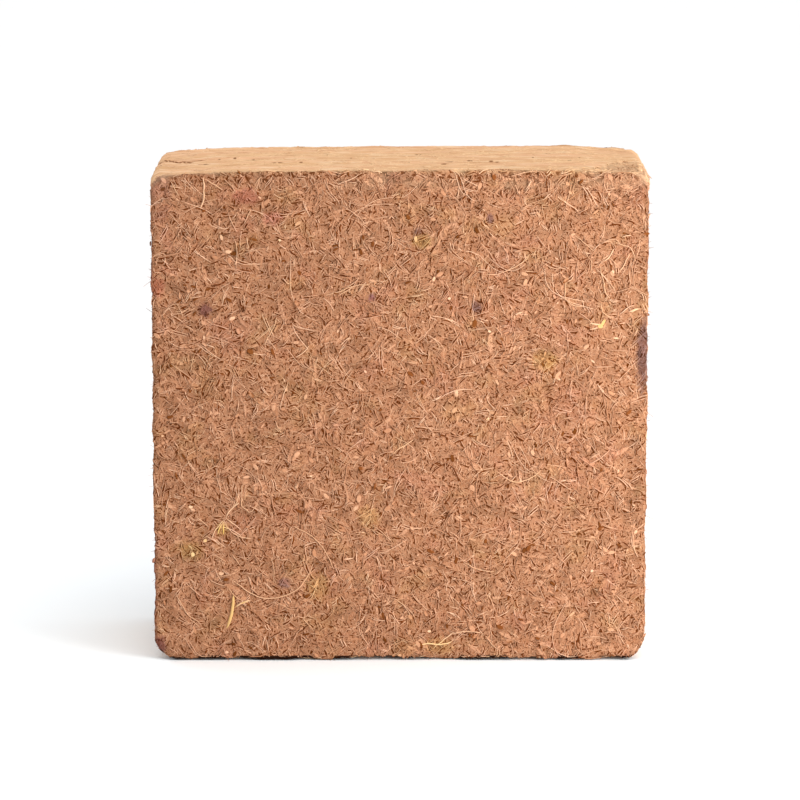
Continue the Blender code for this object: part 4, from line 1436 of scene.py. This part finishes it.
class CoirFuzzSettings(bpy.types.PropertyGroup):
    """The stray ends along the rims."""

    density: number_setting("Density", "Stray ends to the square metre of rim", 90000.0)
    shortest: length_setting("Shortest", "How far the shortest ends stick out", 0.8 * MM)
    longest: length_setting("Longest", "How far the longest ends stick out", 4.5 * MM)
    thickness: length_setting("Thickness", "Thickness of an end", 0.26 * MM)
    spread: number_setting("Spread", "How far an end leans from straight out", 0.9)


class COIR_OT_fuzz(bpy.types.Operator):
    """Adds the stray ends along the rims"""

    bl_idname = "coir.fuzz"
    bl_label = "Stray ends"

    def execute(self, context):
        skin = bpy.data.objects["coir_block"].data
        make_piece("stray_ends", skin.copy(), fuzz_tree(), {
            **tree_values(context.scene.coir_fuzz), "Rarity": 3.0, "Seed": 97,
            "Material": fibre_material("stray_end", FIBRE_COLOURS)})
        return {"FINISHED"}


class CoirStageSettings(bpy.types.PropertyGroup):
    """The floor, the light and the camera."""

    floor_colour: colour_setting("Floor", "Colour of the floor", (0.80, 0.80, 0.80))
    floor_half: length_setting("Floor reach", "Half the floor's width", 14.0)
    ambient: number_setting("Ambient", "Light from all round", 0.64)
    sun: number_setting("Sun", "Light from above and to the right", 2.1)
    lamp: number_setting("Lamp", "Lamp near the right of the front, in watts", 5.8, unit="POWER")
    lamp_colour: colour_setting("Lamp colour", "Colour of the lamp's light", (0.95, 1.0, 1.0))
    lamp_size: length_setting("Lamp size", "Width of the lamps", 0.35)
    fill: number_setting("Fill", "Weak lamp behind on the left, in watts", 0.9, unit="POWER")
    fill_colour: colour_setting("Fill colour", "Colour of the fill lamp's light", (0.60, 0.85, 1.0))
    camera_away: length_setting("Camera distance", "From the camera to the front face", 2.463)
    camera_height: length_setting("Camera height", "Above the floor", 0.6425)
    camera_pitch: number_setting("Camera pitch", "How far the camera looks down", math.radians(11.03),
                                 subtype="ANGLE")
    lens: number_setting("Lens", "Focal length in millimetres", 186.9)


def add_light(name, kind, way, **settings):
    light = bpy.data.lights.new(name, kind)
    for key, value in settings.items():
        setattr(light, key, value)
    place, aim = way
    holder = add_piece(name, light)
    holder.location = place
    holder.rotation_euler = (Vector(aim) - Vector(place)).to_track_quat("-Z", "Y").to_euler()
    return holder


class COIR_OT_stage(bpy.types.Operator):
    """Makes the floor, the light and the camera"""

    bl_idname = "coir.stage"
    bl_label = "Stage"

    def execute(self, context):
        settings = context.scene.coir_stage
        scene = context.scene
        scene.view_settings.view_transform = "Standard"
        plan = bmesh.new()
        bmesh.ops.create_grid(plan, x_segments=1, y_segments=1, size=settings.floor_half)
        mesh = bpy.data.meshes.new("floor")
        plan.to_mesh(mesh)
        plan.free()
        material, _, shader = new_material("pale_floor", 0.85, 0.1)
        shader.inputs["Base Color"].default_value = settings.floor_colour
        mesh.materials.append(material)
        add_piece("floor", mesh)

        world = bpy.data.worlds.new("studio")
        world.use_nodes = True
        sky = world.node_tree.nodes["Background"]
        sky.inputs["Color"].default_value = (1.0, 1.0, 1.0, 1.0)
        sky.inputs["Strength"].default_value = settings.ambient
        scene.world = world
        add_light("sun", "SUN", SUN_WAY, energy=settings.sun, angle=SUN_BREADTH)
        add_light("lamp", "AREA", LAMP_WAY, energy=settings.lamp, color=settings.lamp_colour[:3],
                  size=settings.lamp_size)
        fill = add_light("fill", "AREA", FILL_WAY, energy=settings.fill, color=settings.fill_colour[:3],
                         size=settings.lamp_size)
        fill.visible_camera = False

        camera = bpy.data.cameras.new("camera")
        camera.lens = settings.lens
        camera.sensor_width = SENSOR_WIDTH
        camera.clip_end = SIGHT
        holder = add_piece("camera", camera)
        holder.location = (0.0, BLOCK_LOW.y - settings.camera_away, settings.camera_height)
        holder.rotation_euler = (math.pi / 2 - settings.camera_pitch, 0.0, 0.0)
        scene.camera = holder
        return {"FINISHED"}


class COIR_PT_panel(bpy.types.Panel):
    """The block's pieces and settings"""

    bl_idname = "COIR_PT_panel"
    bl_label = "Coir block"
    bl_space_type = "VIEW_3D"
    bl_region_type = "UI"
    bl_category = "Coir"

    def draw(self, context):
        for operator, name, _ in STEPS:
            box = self.layout.box()
            box.operator(operator.bl_idname)
            settings = getattr(context.scene, name)
            for setting in setting_names(settings):
                box.prop(settings, setting)


STEPS = (
    (COIR_OT_stage, "coir_stage", CoirStageSettings),
    (COIR_OT_block, "coir_block", CoirBlockSettings),
    (COIR_OT_flakes, "coir_flakes", CoirFlakeSettings),
    (COIR_OT_fibres, "coir_fibres", CoirFibreSettings),
    (COIR_OT_side_fibres, "coir_side_fibres", CoirSideFibreSettings),
    (COIR_OT_strands, "coir_strands", CoirStrandSettings),
    (COIR_OT_fuzz, "coir_fuzz", CoirFuzzSettings),
)


def register():
    for operator, name, group in STEPS:
        bpy.utils.register_class(group)
        bpy.utils.register_class(operator)
        setattr(bpy.types.Scene, name, PointerProperty(type=group))
    bpy.utils.register_class(COIR_PT_panel)


def unregister():
    bpy.utils.unregister_class(COIR_PT_panel)
    for operator, name, group in reversed(STEPS):
        delattr(bpy.types.Scene, name)
        bpy.utils.unregister_class(operator)
        bpy.utils.unregister_class(group)


def main():
    register()
    for operator, _, _ in STEPS:
        family, name = operator.bl_idname.split(".")
        getattr(getattr(bpy.ops, family), name)()


if __name__ == "__main__":
    main()
